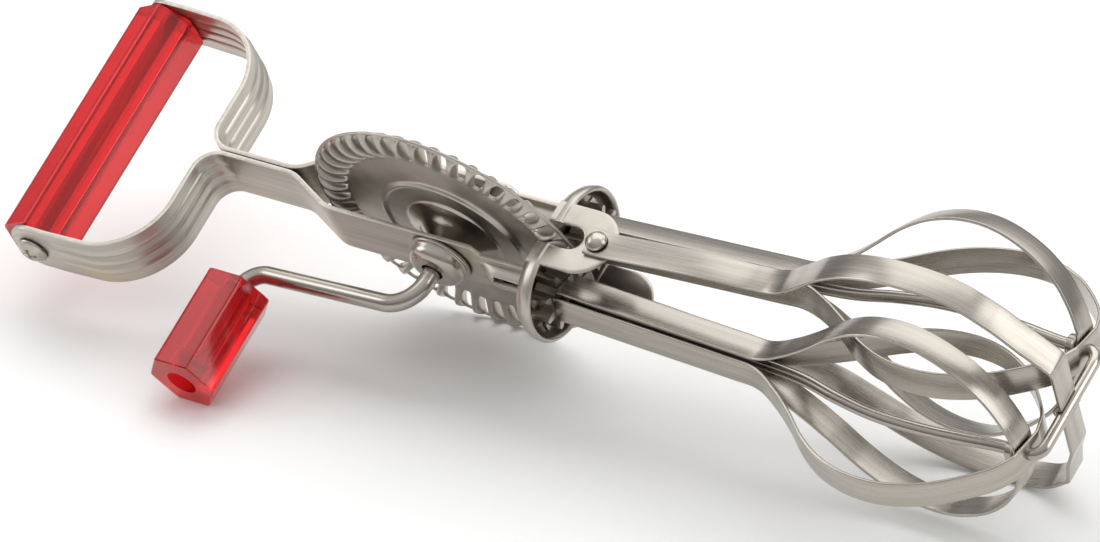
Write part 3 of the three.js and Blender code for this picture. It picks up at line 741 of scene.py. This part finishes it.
# %% Grip, knob and tie rod
GRIP_CENTRE = (-104.2, -0.9)
GRIP_HALF, GRIP_SIDE, GRIP_BORE = 33.4, 9.0, 2.3
EASED, EASED_SCALE = 0.3, 0.97
grip = acrylic_bar("grip_bar", GRIP_CENTRE, GRIP_SIDE, math.pi / 6, [
    (1, EASED_SCALE, -GRIP_HALF), (1, 1, -GRIP_HALF + EASED), (1, 1, GRIP_HALF - EASED),
    (1, EASED_SCALE, GRIP_HALF), (0, GRIP_BORE, GRIP_HALF), (0, GRIP_BORE, -GRIP_HALF)])
fit(grip, "frame", ["grip"], acrylic_face)

ARM_LENGTH = 48.8
ARM_DROP = math.radians(5)
KNOB_CENTRE = (-ARM_LENGTH * math.cos(ARM_DROP), -ARM_LENGTH * math.sin(ARM_DROP))
KNOB_SIDE, KNOB_BORE = 9.3, 2.6
KNOB_OUTER, KNOB_INNER = -56.2, -28.7
COUNTERBORE_DEPTH, COUNTERBORE = 6.0, 3.85
knob = acrylic_bar("knob_bar", KNOB_CENTRE, KNOB_SIDE, 0.0, [
    (1, EASED_SCALE, KNOB_OUTER), (1, 1, KNOB_OUTER + EASED), (1, 1, KNOB_INNER - EASED),
    (1, EASED_SCALE, KNOB_INNER), (0, KNOB_BORE, KNOB_INNER),
    (0, KNOB_BORE, KNOB_OUTER + COUNTERBORE_DEPTH),
    (0, COUNTERBORE, KNOB_OUTER + COUNTERBORE_DEPTH), (0, COUNTERBORE, KNOB_OUTER)])
fit(knob, "knob", ["knob"], acrylic_face)

tie_rod = surface("tie_rod", [(turned(
    [(0, -32.6), (1.8, -32.6), (2.0, -32.3), (2.0, 32.3), (1.8, 32.6), (0, 32.6)],
    (GRIP_CENTRE[0], 0, GRIP_CENTRE[1]), sides=40), False, True)])
fit(tie_rod, "frame", ["grip_tie_rod"], rod_finish)

# %% [markdown]
# ## Grip screws
# A pan head with a cross recess. The head is a dome worked out on a polar grid, and the recess is a
# smooth pit whose depth falls off across each arm of the cross.

# %% Grip screws
HEAD_FACE, HEAD_RADIUS = 35.1, 4.0
HEAD_EDGE, HEAD_DOME = 0.5, 1.6
RECESS_DEPTH, RECESS_ARM, RECESS_HALF = 0.9, 2.3, 0.42
SHANK_RADIUS, SHANK_END = 1.5, 33.0
ROUND_HEAD = 144


def recess_arm(across, along):
    """1 inside one bar of the cross, falling off as exp(-(across / half)^4), and over 0.5 mm at its
    ends."""
    return np.exp(-(across / RECESS_HALF) ** 4) * np.clip((RECESS_ARM - np.abs(along)) / 0.5, 0, 1)


def grip_screw(side, sign):
    """Edge + dome (1 - (r / radius)^2.4), less a cross-shaped pit; a short shank closes it below."""
    radius = np.concatenate([np.linspace(0, HEAD_RADIUS - 0.1, 60), [HEAD_RADIUS, HEAD_RADIUS]])[:, None]
    angle = np.linspace(0, 2 * math.pi, ROUND_HEAD, endpoint=False)[None]
    u, v = radius * np.cos(angle), radius * np.sin(angle)
    dome = HEAD_EDGE + HEAD_DOME * np.clip(1 - (radius / HEAD_RADIUS) ** 2.4, 0, 1)
    height = dome - RECESS_DEPTH * np.maximum(recess_arm(u, v), recess_arm(v, u))
    height[-1] = 0
    top = np.stack([GRIP_CENTRE[0] + u, sign * (HEAD_FACE + height), GRIP_CENTRE[1] + v], axis=2)
    under = [np.stack([
        GRIP_CENTRE[0] + r * np.cos(angle[0]), np.full(ROUND_HEAD, sign * y),
        GRIP_CENTRE[1] + r * np.sin(angle[0])], axis=1)
        for r, y in [(SHANK_RADIUS, HEAD_FACE), (SHANK_RADIUS, SHANK_END), (0, SHANK_END)]]
    piece = surface(f"{side}_screw", [(np.concatenate([top, under]), False, True)], smooth_angle=50)
    fit(piece, "frame", [f"{side}_grip_screw"], polished_finish)


grip_screw("near", -1)
grip_screw("far", 1)

# %% [markdown]
# ## Bearings
# A drawn cup with a flange bears the axle on the crank's side, and a plain collar on the other. One
# profile turned round the axle makes each. The cup gets generous rounding where the sheet was
# drawn, because that is where a polished cup shows its bright and dark rings.

# %% Bearings
def bearing(node, sign, corners):
    """Corners (radius, height, rounding) as a closed profile round the axle, on the side the sign
    says."""
    profile = rounded_profile(corners, steps=12)
    profile[:, 1] *= sign
    piece = surface(f"{node}_turned", [(turned(profile, sides=160), True, True)], smooth_angle=60)
    fit(piece, "frame", [node], polished_finish)


CUP_FACE, COLLAR_FACE = 7.75, 12.35
bearing("near_bearing_cup", -1, [
    (2.6, CUP_FACE, 0.1), (8.1, CUP_FACE, 0.2), (8.1, CUP_FACE + 0.8, 0.3), (7.2, CUP_FACE + 0.9, 0.4),
    (7.0, CUP_FACE + 3.0, 1.4), (5.4, CUP_FACE + 4.4, 1.1), (2.7, CUP_FACE + 4.5, 0.5)])
bearing("far_bearing_collar", 1, [
    (2.6, COLLAR_FACE, 0.1), (6.0, COLLAR_FACE, 0.2), (6.0, COLLAR_FACE + 0.9, 0.4),
    (2.6, COLLAR_FACE + 0.9, 0.2)])

# %% [markdown]
# ## Crank rod
# One rod is the axle, the arm and the pin of the knob. A circle carried along a bent line makes it;
# the line lies in a plane that holds the axle and the arm, which drops five degrees.

# %% Crank rod
ROD_RADIUS = 2.2
ARM_Y, AXLE_END_Y, PIN_END_Y = -22.9, 15.2, -52.4
arm_way = (-math.cos(ARM_DROP), 0, -math.sin(ARM_DROP))
arm_cross = np.cross(arm_way, (0, 1, 0))
rod_line = bent_line([(0, AXLE_END_Y), (0, ARM_Y, 8), (ARM_LENGTH, ARM_Y, 6), (ARM_LENGTH, PIN_END_Y)], 0.4)
rod_plane = ((0, 0, 0), arm_way, (0, 1, 0), arm_cross)
rod = surface("crank_rod_bar", [(swept(rod_line, round_section(ROD_RADIUS, 40), rod_plane), False, True)])
fit(rod, "crank", ["crank_rod"], rod_finish)

# %% [markdown]
# ## Gear wheel
# The wheel is stamped from sheet. Its teeth are the bars left between 44 slots, and each bar is
# swollen on both faces so that a pinion can push it. Round each slot the surface is a ring of rows
# that start on the slot's edge, where the two faces meet, and end on the edge of that slot's share
# of the rim; neighbouring shares meet in the middle of a bar and weld. The web inside is a turned
# profile, with a raised bead and a hub drawn up towards the crank.

# %% Slotted rim
TEETH = 44
PITCH = 2 * math.pi / TEETH
SLOT = (29.3, 36.9)
BAR = 1.95
SHARE = (28.2, 37.5)
SHEET_HALF = 0.4
BAR_SWELL = 1.9
PER_SIDE = 8


def share_edge():
    """The edge of one slot's share of the rim, as (turn, radius): four sides with PER_SIDE steps
    each."""
    t = np.arange(PER_SIDE) / PER_SIDE
    low, high = SHARE
    turn = np.concatenate([-0.5 + t, 0.5 + 0 * t, 0.5 - t, -0.5 + 0 * t]) * PITCH
    radius = np.concatenate([low + 0 * t, low + (high - low) * t, high + 0 * t, high - (high - low) * t])
    return turn, radius


def slot_edge():
    """The slot's outline at the same places: a superellipse of power 4, its sides parallel to the
    bars' sides."""
    turn, radius = share_edge()
    middle, reach = sum(SLOT) / 2, (SLOT[1] - SLOT[0]) / 2
    u, v = turn / (PITCH / 2), (radius - sum(SHARE) / 2) / ((SHARE[1] - SHARE[0]) / 2)
    shrink = (np.abs(u) ** 4 + np.abs(v) ** 4) ** -0.25
    slot_radius = middle + reach * v * shrink
    half = PITCH / 2 - np.arcsin(BAR / 2 / slot_radius)
    return u * shrink * half, slot_radius


def rim_share(index, face):
    """Rows from the slot's edge to the share's edge. Height follows a quarter circle from zero up
    to half the sheet, or to the swollen bar's 2.3 mm where the row runs up a bar."""
    outer_turn, outer_radius = share_edge()
    inner_turn, inner_radius = slot_edge()
    t = (1 - np.cos(np.linspace(0, math.pi / 2, 9)))[:, None]
    turn = inner_turn + (outer_turn - inner_turn) * t
    radius = inner_radius + (outer_radius - inner_radius) * t
    along = np.clip((radius - 28.8) / 8.6, 0, 1) ** 1.2
    crown = SHEET_HALF + BAR_SWELL * np.sin(math.pi * along) ** 0.7
    side = np.abs(turn) / (PITCH / 2)
    blend = np.clip((side - 0.25) / 0.4, 0, 1)
    blend = blend * blend * (3 - 2 * blend)
    edge_distance = np.hypot((outer_turn - inner_turn) * radius, outer_radius - inner_radius) * t
    rounding = np.sqrt(np.clip(1 - (1 - np.clip(edge_distance / 0.8, 0, 1)) ** 2, 0, 1))
    height = face * rounding * (SHEET_HALF + (crown - SHEET_HALF) * blend)
    angle = turn + index * PITCH
    return np.stack([radius * np.cos(angle), height, radius * np.sin(angle)], axis=2)


def ring_of(profile, sides=TEETH * PER_SIDE):
    """(radius, y) points swept round the axle, with a point on every step of the shares' edges."""
    profile = np.array(profile, float)
    angle = (np.arange(sides) / sides - 0.5 / TEETH) * 2 * math.pi
    radius = profile[:, :1]
    return np.stack([radius * np.cos(angle), profile[:, 1:] + 0 * angle, radius * np.sin(angle)], axis=2)


slot_width = (SLOT[0] + SLOT[1]) / 2 * PITCH - BAR
print(TEETH, "slots", round(slot_width, 2), "mm wide between bars of", BAR, "mm")

# %% [markdown]
# ### Web, bead and hub
# Inside the slots the sheet is flat, then a raised bead stiffens it, and the hub rises towards the
# crank in two steps. Both faces follow one profile, a sheet's thickness apart, as (radius, y). The
# rim's edge is a half circle.

# %% Web, bead, hub and rim edge
near_web = bent_line([
    (SHARE[0], -SHEET_HALF), (19.9, -SHEET_HALF, 0.8), (19.2, -1.3, 0.4), (18.6, -1.3, 0.3),
    (18.0, -0.8, 0.4), (12.9, -0.8, 0.2), (12.5, -1.2, 0.3), (9.0, -2.1, 6), (6.2, -3.9, 2),
    (4.6, -5.0, 0.5), (2.6, -5.0)], 0.32)
far_web = near_web + (0, 2 * SHEET_HALF)
rim_turn = np.linspace(0, math.pi, 11)
rim_edge = np.stack([SHARE[1] + 0.5 * np.sin(rim_turn), -SHEET_HALF * np.cos(rim_turn)], axis=1)
wheel_parts = [(rim_share(index, face), False, True) for index in range(TEETH) for face in (-1, 1)]
bore = [near_web[-1], far_web[-1]]
wheel_parts += [(ring_of(profile), False, True) for profile in (near_web, far_web, rim_edge, bore)]
wheel = surface("gear_wheel", wheel_parts, smooth_angle=60)
fit(wheel, "crank", ["drive_wheel"], wheel_finish)

# %% [markdown]
# ## Beaters
# Each beater is two loops of strip crossed at right angles. A loop runs out from the pinion beside
# the axle, swells into the cage, crosses the axle's end and comes back. The loops are drawn in a
# plane through the beater's axis, so each only needs that plane's direction, which is the beater's
# phase.

# %% A beater's axis and a loop's outline
SPLAY = 0.0474
BLADE_END = 167.6
PHASE = {"near": 75.0, "far": 60.0}
BENT = {"near": (0.0, 0.0), "far": (-8.0, 7.0)}
BEND_START, BEND_RUN = 88, 34
BLADE_THICK, BLADE_WIDE = 0.8, 7.0
OUTER_LOOP_GAP = 1.1


def beater_basis(side, degrees):
    """The axis of a beater and, turned about it from the tool's Y towards Z, the plane of one of
    its loops."""
    sign = -1 if side == "near" else 1
    along = np.array([1, sign * SPLAY, 0]) / math.hypot(1, SPLAY)
    square = np.array([-along[1], along[0], 0])
    angle = math.radians(degrees)
    plane = square * math.cos(angle) + np.array([0, 0, 1]) * math.sin(angle)
    origin = np.array([MESH_X, sign * BEATER_Y, 0]) - along * MESH_X
    return origin, along, plane, np.cross(along, plane)


def blade_line(end):
    """Out along the bundle, round the cage and across the axis; then the same points mirrored, back
    again."""
    out = [
        (36.8, 4.25), (60, 4.25), (86, 4.25), (95, 4.6), (103, 8.4), (111, 13.6), (119, 19.6), (127, 23.8),
        (136, 25.8), (145, 25.1), (154, 21.4), (161, 15.9), (end - 2.6, 10.3), (end - 0.35, 5.4),
        (end, 3.6)]
    return smooth_line(out + [(x, -r) for x, r in reversed(out)], 0.5)


print("one loop is", round(float(travelled(blade_line(BLADE_END))[-1])), "mm of strip")

# %% [markdown]
# ### Loops and eyelets
# Use bends the cages: the far beater's loops no longer cross squarely. The bundle by the pinion
# stays square, so the cage is turned about the axis by an angle that grows along it. Where the
# loops cross at the end, a small eyelet lines the hole for the axle wire.

# %% Loops and eyelets
def twisted(grid, side, degrees):
    """Turns the cage about the beater's axis by angle (3 s^2 - 2 s^3), with s the share of the bend
    passed."""
    origin, along, first, second = beater_basis(side, 0)
    away = grid - origin
    share = np.clip((away @ along - BEND_START) / BEND_RUN, 0, 1)
    angle = math.radians(degrees) * share * share * (3 - 2 * share)
    u, v = away @ first, away @ second
    turned_u = u * np.cos(angle) - v * np.sin(angle)
    turned_v = u * np.sin(angle) + v * np.cos(angle)
    forward_part = (away @ along)[..., None] * along
    return origin + forward_part + turned_u[..., None] * first + turned_v[..., None] * second


def blade_loops(side):
    """The second loop is a quarter turn from the first and passes outside it at the end."""
    section = strip_section(BLADE_THICK, BLADE_WIDE, 0.3)
    ends = (BLADE_END, BLADE_END + OUTER_LOOP_GAP)
    for letter, turn, end, bend in zip("ab", (0, 90), ends, BENT[side]):
        grid = swept(blade_line(end), section, beater_basis(side, PHASE[side] + turn))
        grid = twisted(grid, side, bend)
        piece = surface(f"{side}_loop_{letter}", [(grid, False, True)], smooth_angle=50)
        fit(piece, f"{side}_beater", [f"{side}_blade_loop_{letter}"], blade_finish)


def eyelet(side):
    """A flanged tube that lines the hole where the loops cross, turned round the beater's axis."""
    face = BLADE_END - 0.7
    profile = rounded_profile([
        (2.1, face - 3), (2.8, face - 3), (2.8, face - 0.9, 0.5), (3.9, face - 0.6), (3.9, face),
        (2.1, face)], 0.2)
    origin, along, _, _ = beater_basis(side, 0)
    piece = surface(f"{side}_ferrule", [(turned(profile, origin, along, 64), True, True)], smooth_angle=60)
    fit(piece, f"{side}_beater", [f"{side}_eyelet"], polished_finish)


for side in ("near", "far"):
    blade_loops(side)
    eyelet(side)

# %% [markdown]
# ## Axle wire
# The wire is one length: out inside one beater, across the end and back inside the other. A circle
# carried along a plane line makes it. Its middle is straight, and it runs close to each beater's
# axis until the cage opens.

# %% Axle wire
WIRE_RADIUS, WIRE_NOSE_X = 1.5, 171.7


def beater_y(x):
    """A beater's axis leaves the middle by the splay: start + (x - start's x) splay."""
    return BEATER_Y + (x - MESH_X) * SPLAY


near_wire = [(x, -beater_y(x)) for x in (19, 45, 70, 95)] + [
    (106, -12.5), (116, -14.6), (127, -16.2), (138, -16.5), (150, -15.9), (160, -15.0), (166, -14.9)]
half_wire = np.concatenate([
    smooth_line(near_wire, 0.5)[:-4],
    bent_line([(166.5, -14.9), (WIRE_NOSE_X, -14.9, 3), (WIRE_NOSE_X, 0)], 0.4)])
wire_line = even_steps(np.concatenate([half_wire, (half_wire * (1, -1))[::-1][1:]]), 0.5)
wire = surface("axle_wire_rod", [(swept(wire_line, round_section(WIRE_RADIUS), FLAT), False, True)])
fit(wire, "frame", ["axle_wire"], rod_finish)

# %% [markdown]
# ## Fixed loop
# The fixed loop is strip that stands still and shields the beaters. Its two limbs are fixed to the
# yoke's ears. Its end is a leaning plate that dips round the axle wire and holds it. It is a
# section carried along a line that is drawn limb by limb, with the lower limb a mirror of the
# upper.

# %% Fixed loop
GROOVE_RADIUS = 2.25
PLATE_HALF, PLATE_EDGE = 17.5, 3.2


upper_stay = [
    (43.5, 13.75), (50, 13.85), (76, 17.3), (92, 18.4), (100, 20.0), (108, 25.6), (117, 32.4), (127, 37.2),
    (140, 39.3), (153, 37.6), (162, 31.4), (168.5, 24)]
lower_stay = [(x, -z) for x, z in upper_stay[:-1]]


def plate_x(z):
    """The end plate leans: x grows by 0.195 for each millimetre up."""
    return 171.2 + z * 0.195


groove_turn = np.linspace(0, math.pi, 24)
groove = np.stack([
    WIRE_NOSE_X - GROOVE_RADIUS * np.sin(groove_turn), GROOVE_RADIUS * np.cos(groove_turn)], axis=1)
upper_plate = bent_line([
    (170.5, 22), (plate_x(PLATE_HALF), PLATE_HALF, 2.5), (plate_x(PLATE_EDGE), PLATE_EDGE)])
lower_plate = bent_line([
    (plate_x(-PLATE_EDGE), -PLATE_EDGE), (plate_x(-PLATE_HALF), -PLATE_HALF, 2.5), (164.5, -24)])
loop_line = even_steps(np.concatenate([
    smooth_line(upper_stay), upper_plate[1:], groove, lower_plate[:-1],
    smooth_line(lower_stay)[::-1]]), 0.4)
loop_grid = swept(loop_line, strip_section(0.9, 7.0, 0.3), UPRIGHT)
loop = surface("fixed_stay_loop", [(loop_grid, False, True)], 50)
fit(loop, "frame", ["fixed_loop"], blade_finish)

# %% [markdown]
# ## Stay rivets
# One rivet through each ear holds a limb of the fixed loop. The head was set with a domed punch,
# and the tail was spread inside the ear. As with the cup, one profile turned round the rivet's axis
# makes the whole of it.

# %% Stay rivets
RIVET_X = 45.8


def stay_rivet(name, sign):
    """A domed head over a shank, with a tail spread inside the ear, as (radius, height, rounding)."""
    profile = rounded_profile([
        (0.001, 10.8, 0.0), (1.8, 10.9, 0.3), (2.2, 11.7, 0.1), (1.4, 11.7, 0.05), (1.4, 14.5, 0.05),
        (2.75, 14.5, 0.1), (2.6, 15.1, 0.4), (1.5, 16.1, 0.9), (0.001, 16.35, 0.0)], 0.2, 7)
    profile[:, 1] *= sign
    piece = surface(name, [(turned(profile, (RIVET_X, 0, 0), (0, 0, 1), 64), False, True)], smooth_angle=60)
    fit(piece, "frame", [f"{name.split('_')[0]}_stay_rivet"], polished_finish)


stay_rivet("upper_rivet", 1)
stay_rivet("lower_rivet", -1)

# %% [markdown]
# ## Yoke
# A shallow dish holds the pinions: two half circles joined by straight runs, drawn up at the edge
# and curled over. An ear above and below carries the fixed loop, and a slot lets the wheel through.
# The dish is a profile carried round that outline, left open at the slot, and one half is the
# mirror of the other.

# %% Yoke dish
NOTCH_HALF = 3.1
END_CENTRE = 7.0
ROUND_END = 72
DISH = rounded_profile([
    (0, 28.7, 0), (11.0, 28.7, 2.2), (13.0, 31.4, 1.4), (13.3, 33.5, 0.8), (12.5, 34.3, 0.6),
    (11.7, 33.5, 0.6), (11.6, 31.2, 1.2), (10.4, 29.7, 1.0), (0, 29.7, 0)], steps=8)


def closed_ends(grid):
    """A row at each end, shrunk to the middle of the row beside it, closes a tube."""
    ends = [np.broadcast_to(grid[i].mean(axis=0), grid[i].shape)[None] for i in (0, -1)]
    return np.concatenate([ends[0], grid, ends[1]])


def half_dish(sign):
    """The dish's closed profile (distance from the middle line, x) carried round one rounded end,
    from the slot's upper edge to its lower edge."""
    turn = np.linspace(math.pi / 2, -math.pi / 2, ROUND_END)
    straight = np.linspace(NOTCH_HALF, END_CENTRE, 14)[:-1]
    centre_y = np.concatenate([straight, np.full(ROUND_END, END_CENTRE), straight[::-1]])
    normal_y = np.concatenate([0 * straight, np.cos(turn), 0 * straight])
    normal_z = np.concatenate([1 + 0 * straight, np.sin(turn), -1 + 0 * straight])
    distance, x = DISH[:, 0], DISH[:, 1]
    y = sign * (centre_y[:, None] + normal_y[:, None] * distance)
    z = normal_z[:, None] * distance
    return closed_ends(np.stack([np.broadcast_to(x, y.shape), y, z], axis=2))


print("the dish is", round(2 * (END_CENTRE + float(DISH[:, 0].max())), 1), "mm long")

# %% [markdown]
# ### Ears and lugs
# The ears are flat plates with a round end and a notch for the wheel. Each is a grid between two
# outlines, from the notch to the outside, with a rounded section across. The straps' ends pass
# through the dish as three lugs a side, bent over to clinch it.

# %% Ears, lugs and the whole yoke
EAR_CENTRE, EAR_RADIUS = 41.3, 8.9
EAR_ROOT_X, EAR_Z, EAR_THICK = 30.2, 12.5, 1.0
NOTCH_X = 38.1
LUGS_Z = (-6.2, -1.6, 3.4)


def ear_outline():
    """The ear from the dish's wall round its end and back, then in round the notch for the wheel."""
    end = np.linspace(-math.pi / 2, math.pi / 2, 60)
    notch_turn = np.linspace(math.pi / 2, -math.pi / 2, 40)
    outside = np.stack([EAR_CENTRE + EAR_RADIUS * np.cos(end), EAR_RADIUS * np.sin(end)], axis=1)
    inside = np.stack([NOTCH_X + NOTCH_HALF * np.cos(notch_turn), NOTCH_HALF * np.sin(notch_turn)], axis=1)
    inside = np.concatenate([[(EAR_ROOT_X, NOTCH_HALF)], inside, [(EAR_ROOT_X, -NOTCH_HALF)]])
    outside = np.concatenate([[(EAR_ROOT_X, -EAR_RADIUS)], outside, [(EAR_ROOT_X, EAR_RADIUS)]])
    return even_count(outside, 120), even_count(inside[::-1], 120)


def ear(sign):
    """A plate between the outer outline and the notch, with slightly rounded edges."""
    outside, inside = ear_outline()
    section = strip_section(EAR_THICK, 2.0, 0.25)
    share = (section[:, 1] + 1.0) / 2.0
    rows = inside[:, None] + (outside - inside)[:, None] * share[None, :, None]
    z = sign * (EAR_Z + section[:, 0])
    heights = np.broadcast_to(z[None, :, None], (*rows.shape[:2], 1))
    return closed_ends(np.concatenate([rows, heights], axis=2))


def lug(y, way, z):
    """A lug of a strap's end, through the dish and bent over."""
    line = bent_line([(28.9, y), (31.3, y, 0.9), (31.7, y + way * 2.6)], 0.2)
    return swept(line, strip_section(1.0, 3.0, 0.3), ((0, 0, z), (1, 0, 0), (0, 1, 0), (0, 0, 1)))


yoke_grids = [half_dish(-1), half_dish(1), ear(1), ear(-1)]
yoke_grids += [lug(y, way, z) for y, way in ((-12.2, -1), (13.4, 1)) for z in LUGS_Z]
yoke = surface("yoke_dish", [(grid, False, True) for grid in yoke_grids], 40)
fit(yoke, "frame", ["gear_yoke"], yoke_finish)

# %% [markdown]
# ## Plain CAD nodes that stay
# The pinions, spacer, washer and knob retainer are flat-sided on the real tool too, so their CAD
# solids stay and only get a finish.

# %% Finish the CAD nodes that show
for node, finish in {
    "near_pinion": wheel_finish, "far_pinion": wheel_finish, "axle_spacer": wheel_finish,
    "axle_washer": polished_finish, "knob_retainer": polished_finish}.items():
    mesh = frame["nodes"][node].data
    mesh.materials.clear()
    mesh.materials.append(finish)
    print(node, "->", finish.name)

# %% [markdown]
# ## Table
# A plain white card, large enough that its edge never shows. It is matt, so it takes a soft shadow
# and no reflection.

# %% Table
TABLE_HALF = 6.0
table_mesh = bpy.data.meshes.new("table")
table_corners = [(x * TABLE_HALF, y * TABLE_HALF, 0) for x, y in ((-1, -1), (1, -1), (1, 1), (-1, 1))]
table_mesh.from_pydata(table_corners, [], [(0, 1, 2, 3)])
table = bpy.data.objects.new("table", table_mesh)
bpy.context.scene.collection.objects.link(table)
table_finish = new_material("white_card", Base_Color=hex_colour("#F4F4F3"), Roughness=0.7)[0]
table_mesh.materials.append(table_finish)
print("table", 2 * TABLE_HALF, "m wide, in", table_finish.name)

# %% [markdown]
# ## Light
# Large soft lights, as for a catalogue. Metal only shows what it reflects, so the light needs
# darker gaps: the room is brighter overhead than at the sides, with a broad light above and behind,
# and one at each side.

# %% Lights
ROOM_LOW, ROOM_HIGH = 0.22, 0.85
world = bpy.data.worlds.new("room")
world.use_nodes = True
world.node_tree.nodes["Background"].inputs["Color"].default_value = hex_colour("#FFFFFF")
way = add_node(world.node_tree, "ShaderNodeTexCoord").outputs["Generated"]
height = add_node(world.node_tree, "ShaderNodeSeparateXYZ", links={0: way}).outputs["Z"]
brightness = add_node(
    world.node_tree, "ShaderNodeMapRange",
    inputs={"From Min": 0.0, "From Max": 0.9, "To Min": ROOM_LOW, "To Max": ROOM_HIGH},
    links={"Value": height}).outputs[0]
world.node_tree.links.new(brightness, world.node_tree.nodes["Background"].inputs["Strength"])
bpy.context.scene.world = world


def softbox(name, place, size, watts):
    """A white rectangle of light at a place, turned to face the tool."""
    light = bpy.data.lights.new(name, "AREA")
    light.shape = "RECTANGLE"
    light.size, light.size_y = size
    light.energy = watts
    lamp = bpy.data.objects.new(name, light)
    lamp.location = place
    lamp.rotation_euler = (Vector((0, 0, 0.03)) - Vector(place)).to_track_quat("-Z", "Y").to_euler()
    bpy.context.scene.collection.objects.link(lamp)
    print(name, "at", place)


softbox("overhead", (-0.3, 1.1, 2.0), (3.4, 2.6), 36)
softbox("left_side", (-1.8, -0.5, 1.0), (1.2, 1.2), 10)
softbox("right_side", (1.7, 0.4, 0.9), (0.7, 1.4), 8)
bpy.context.scene.view_settings.view_transform = "Standard"
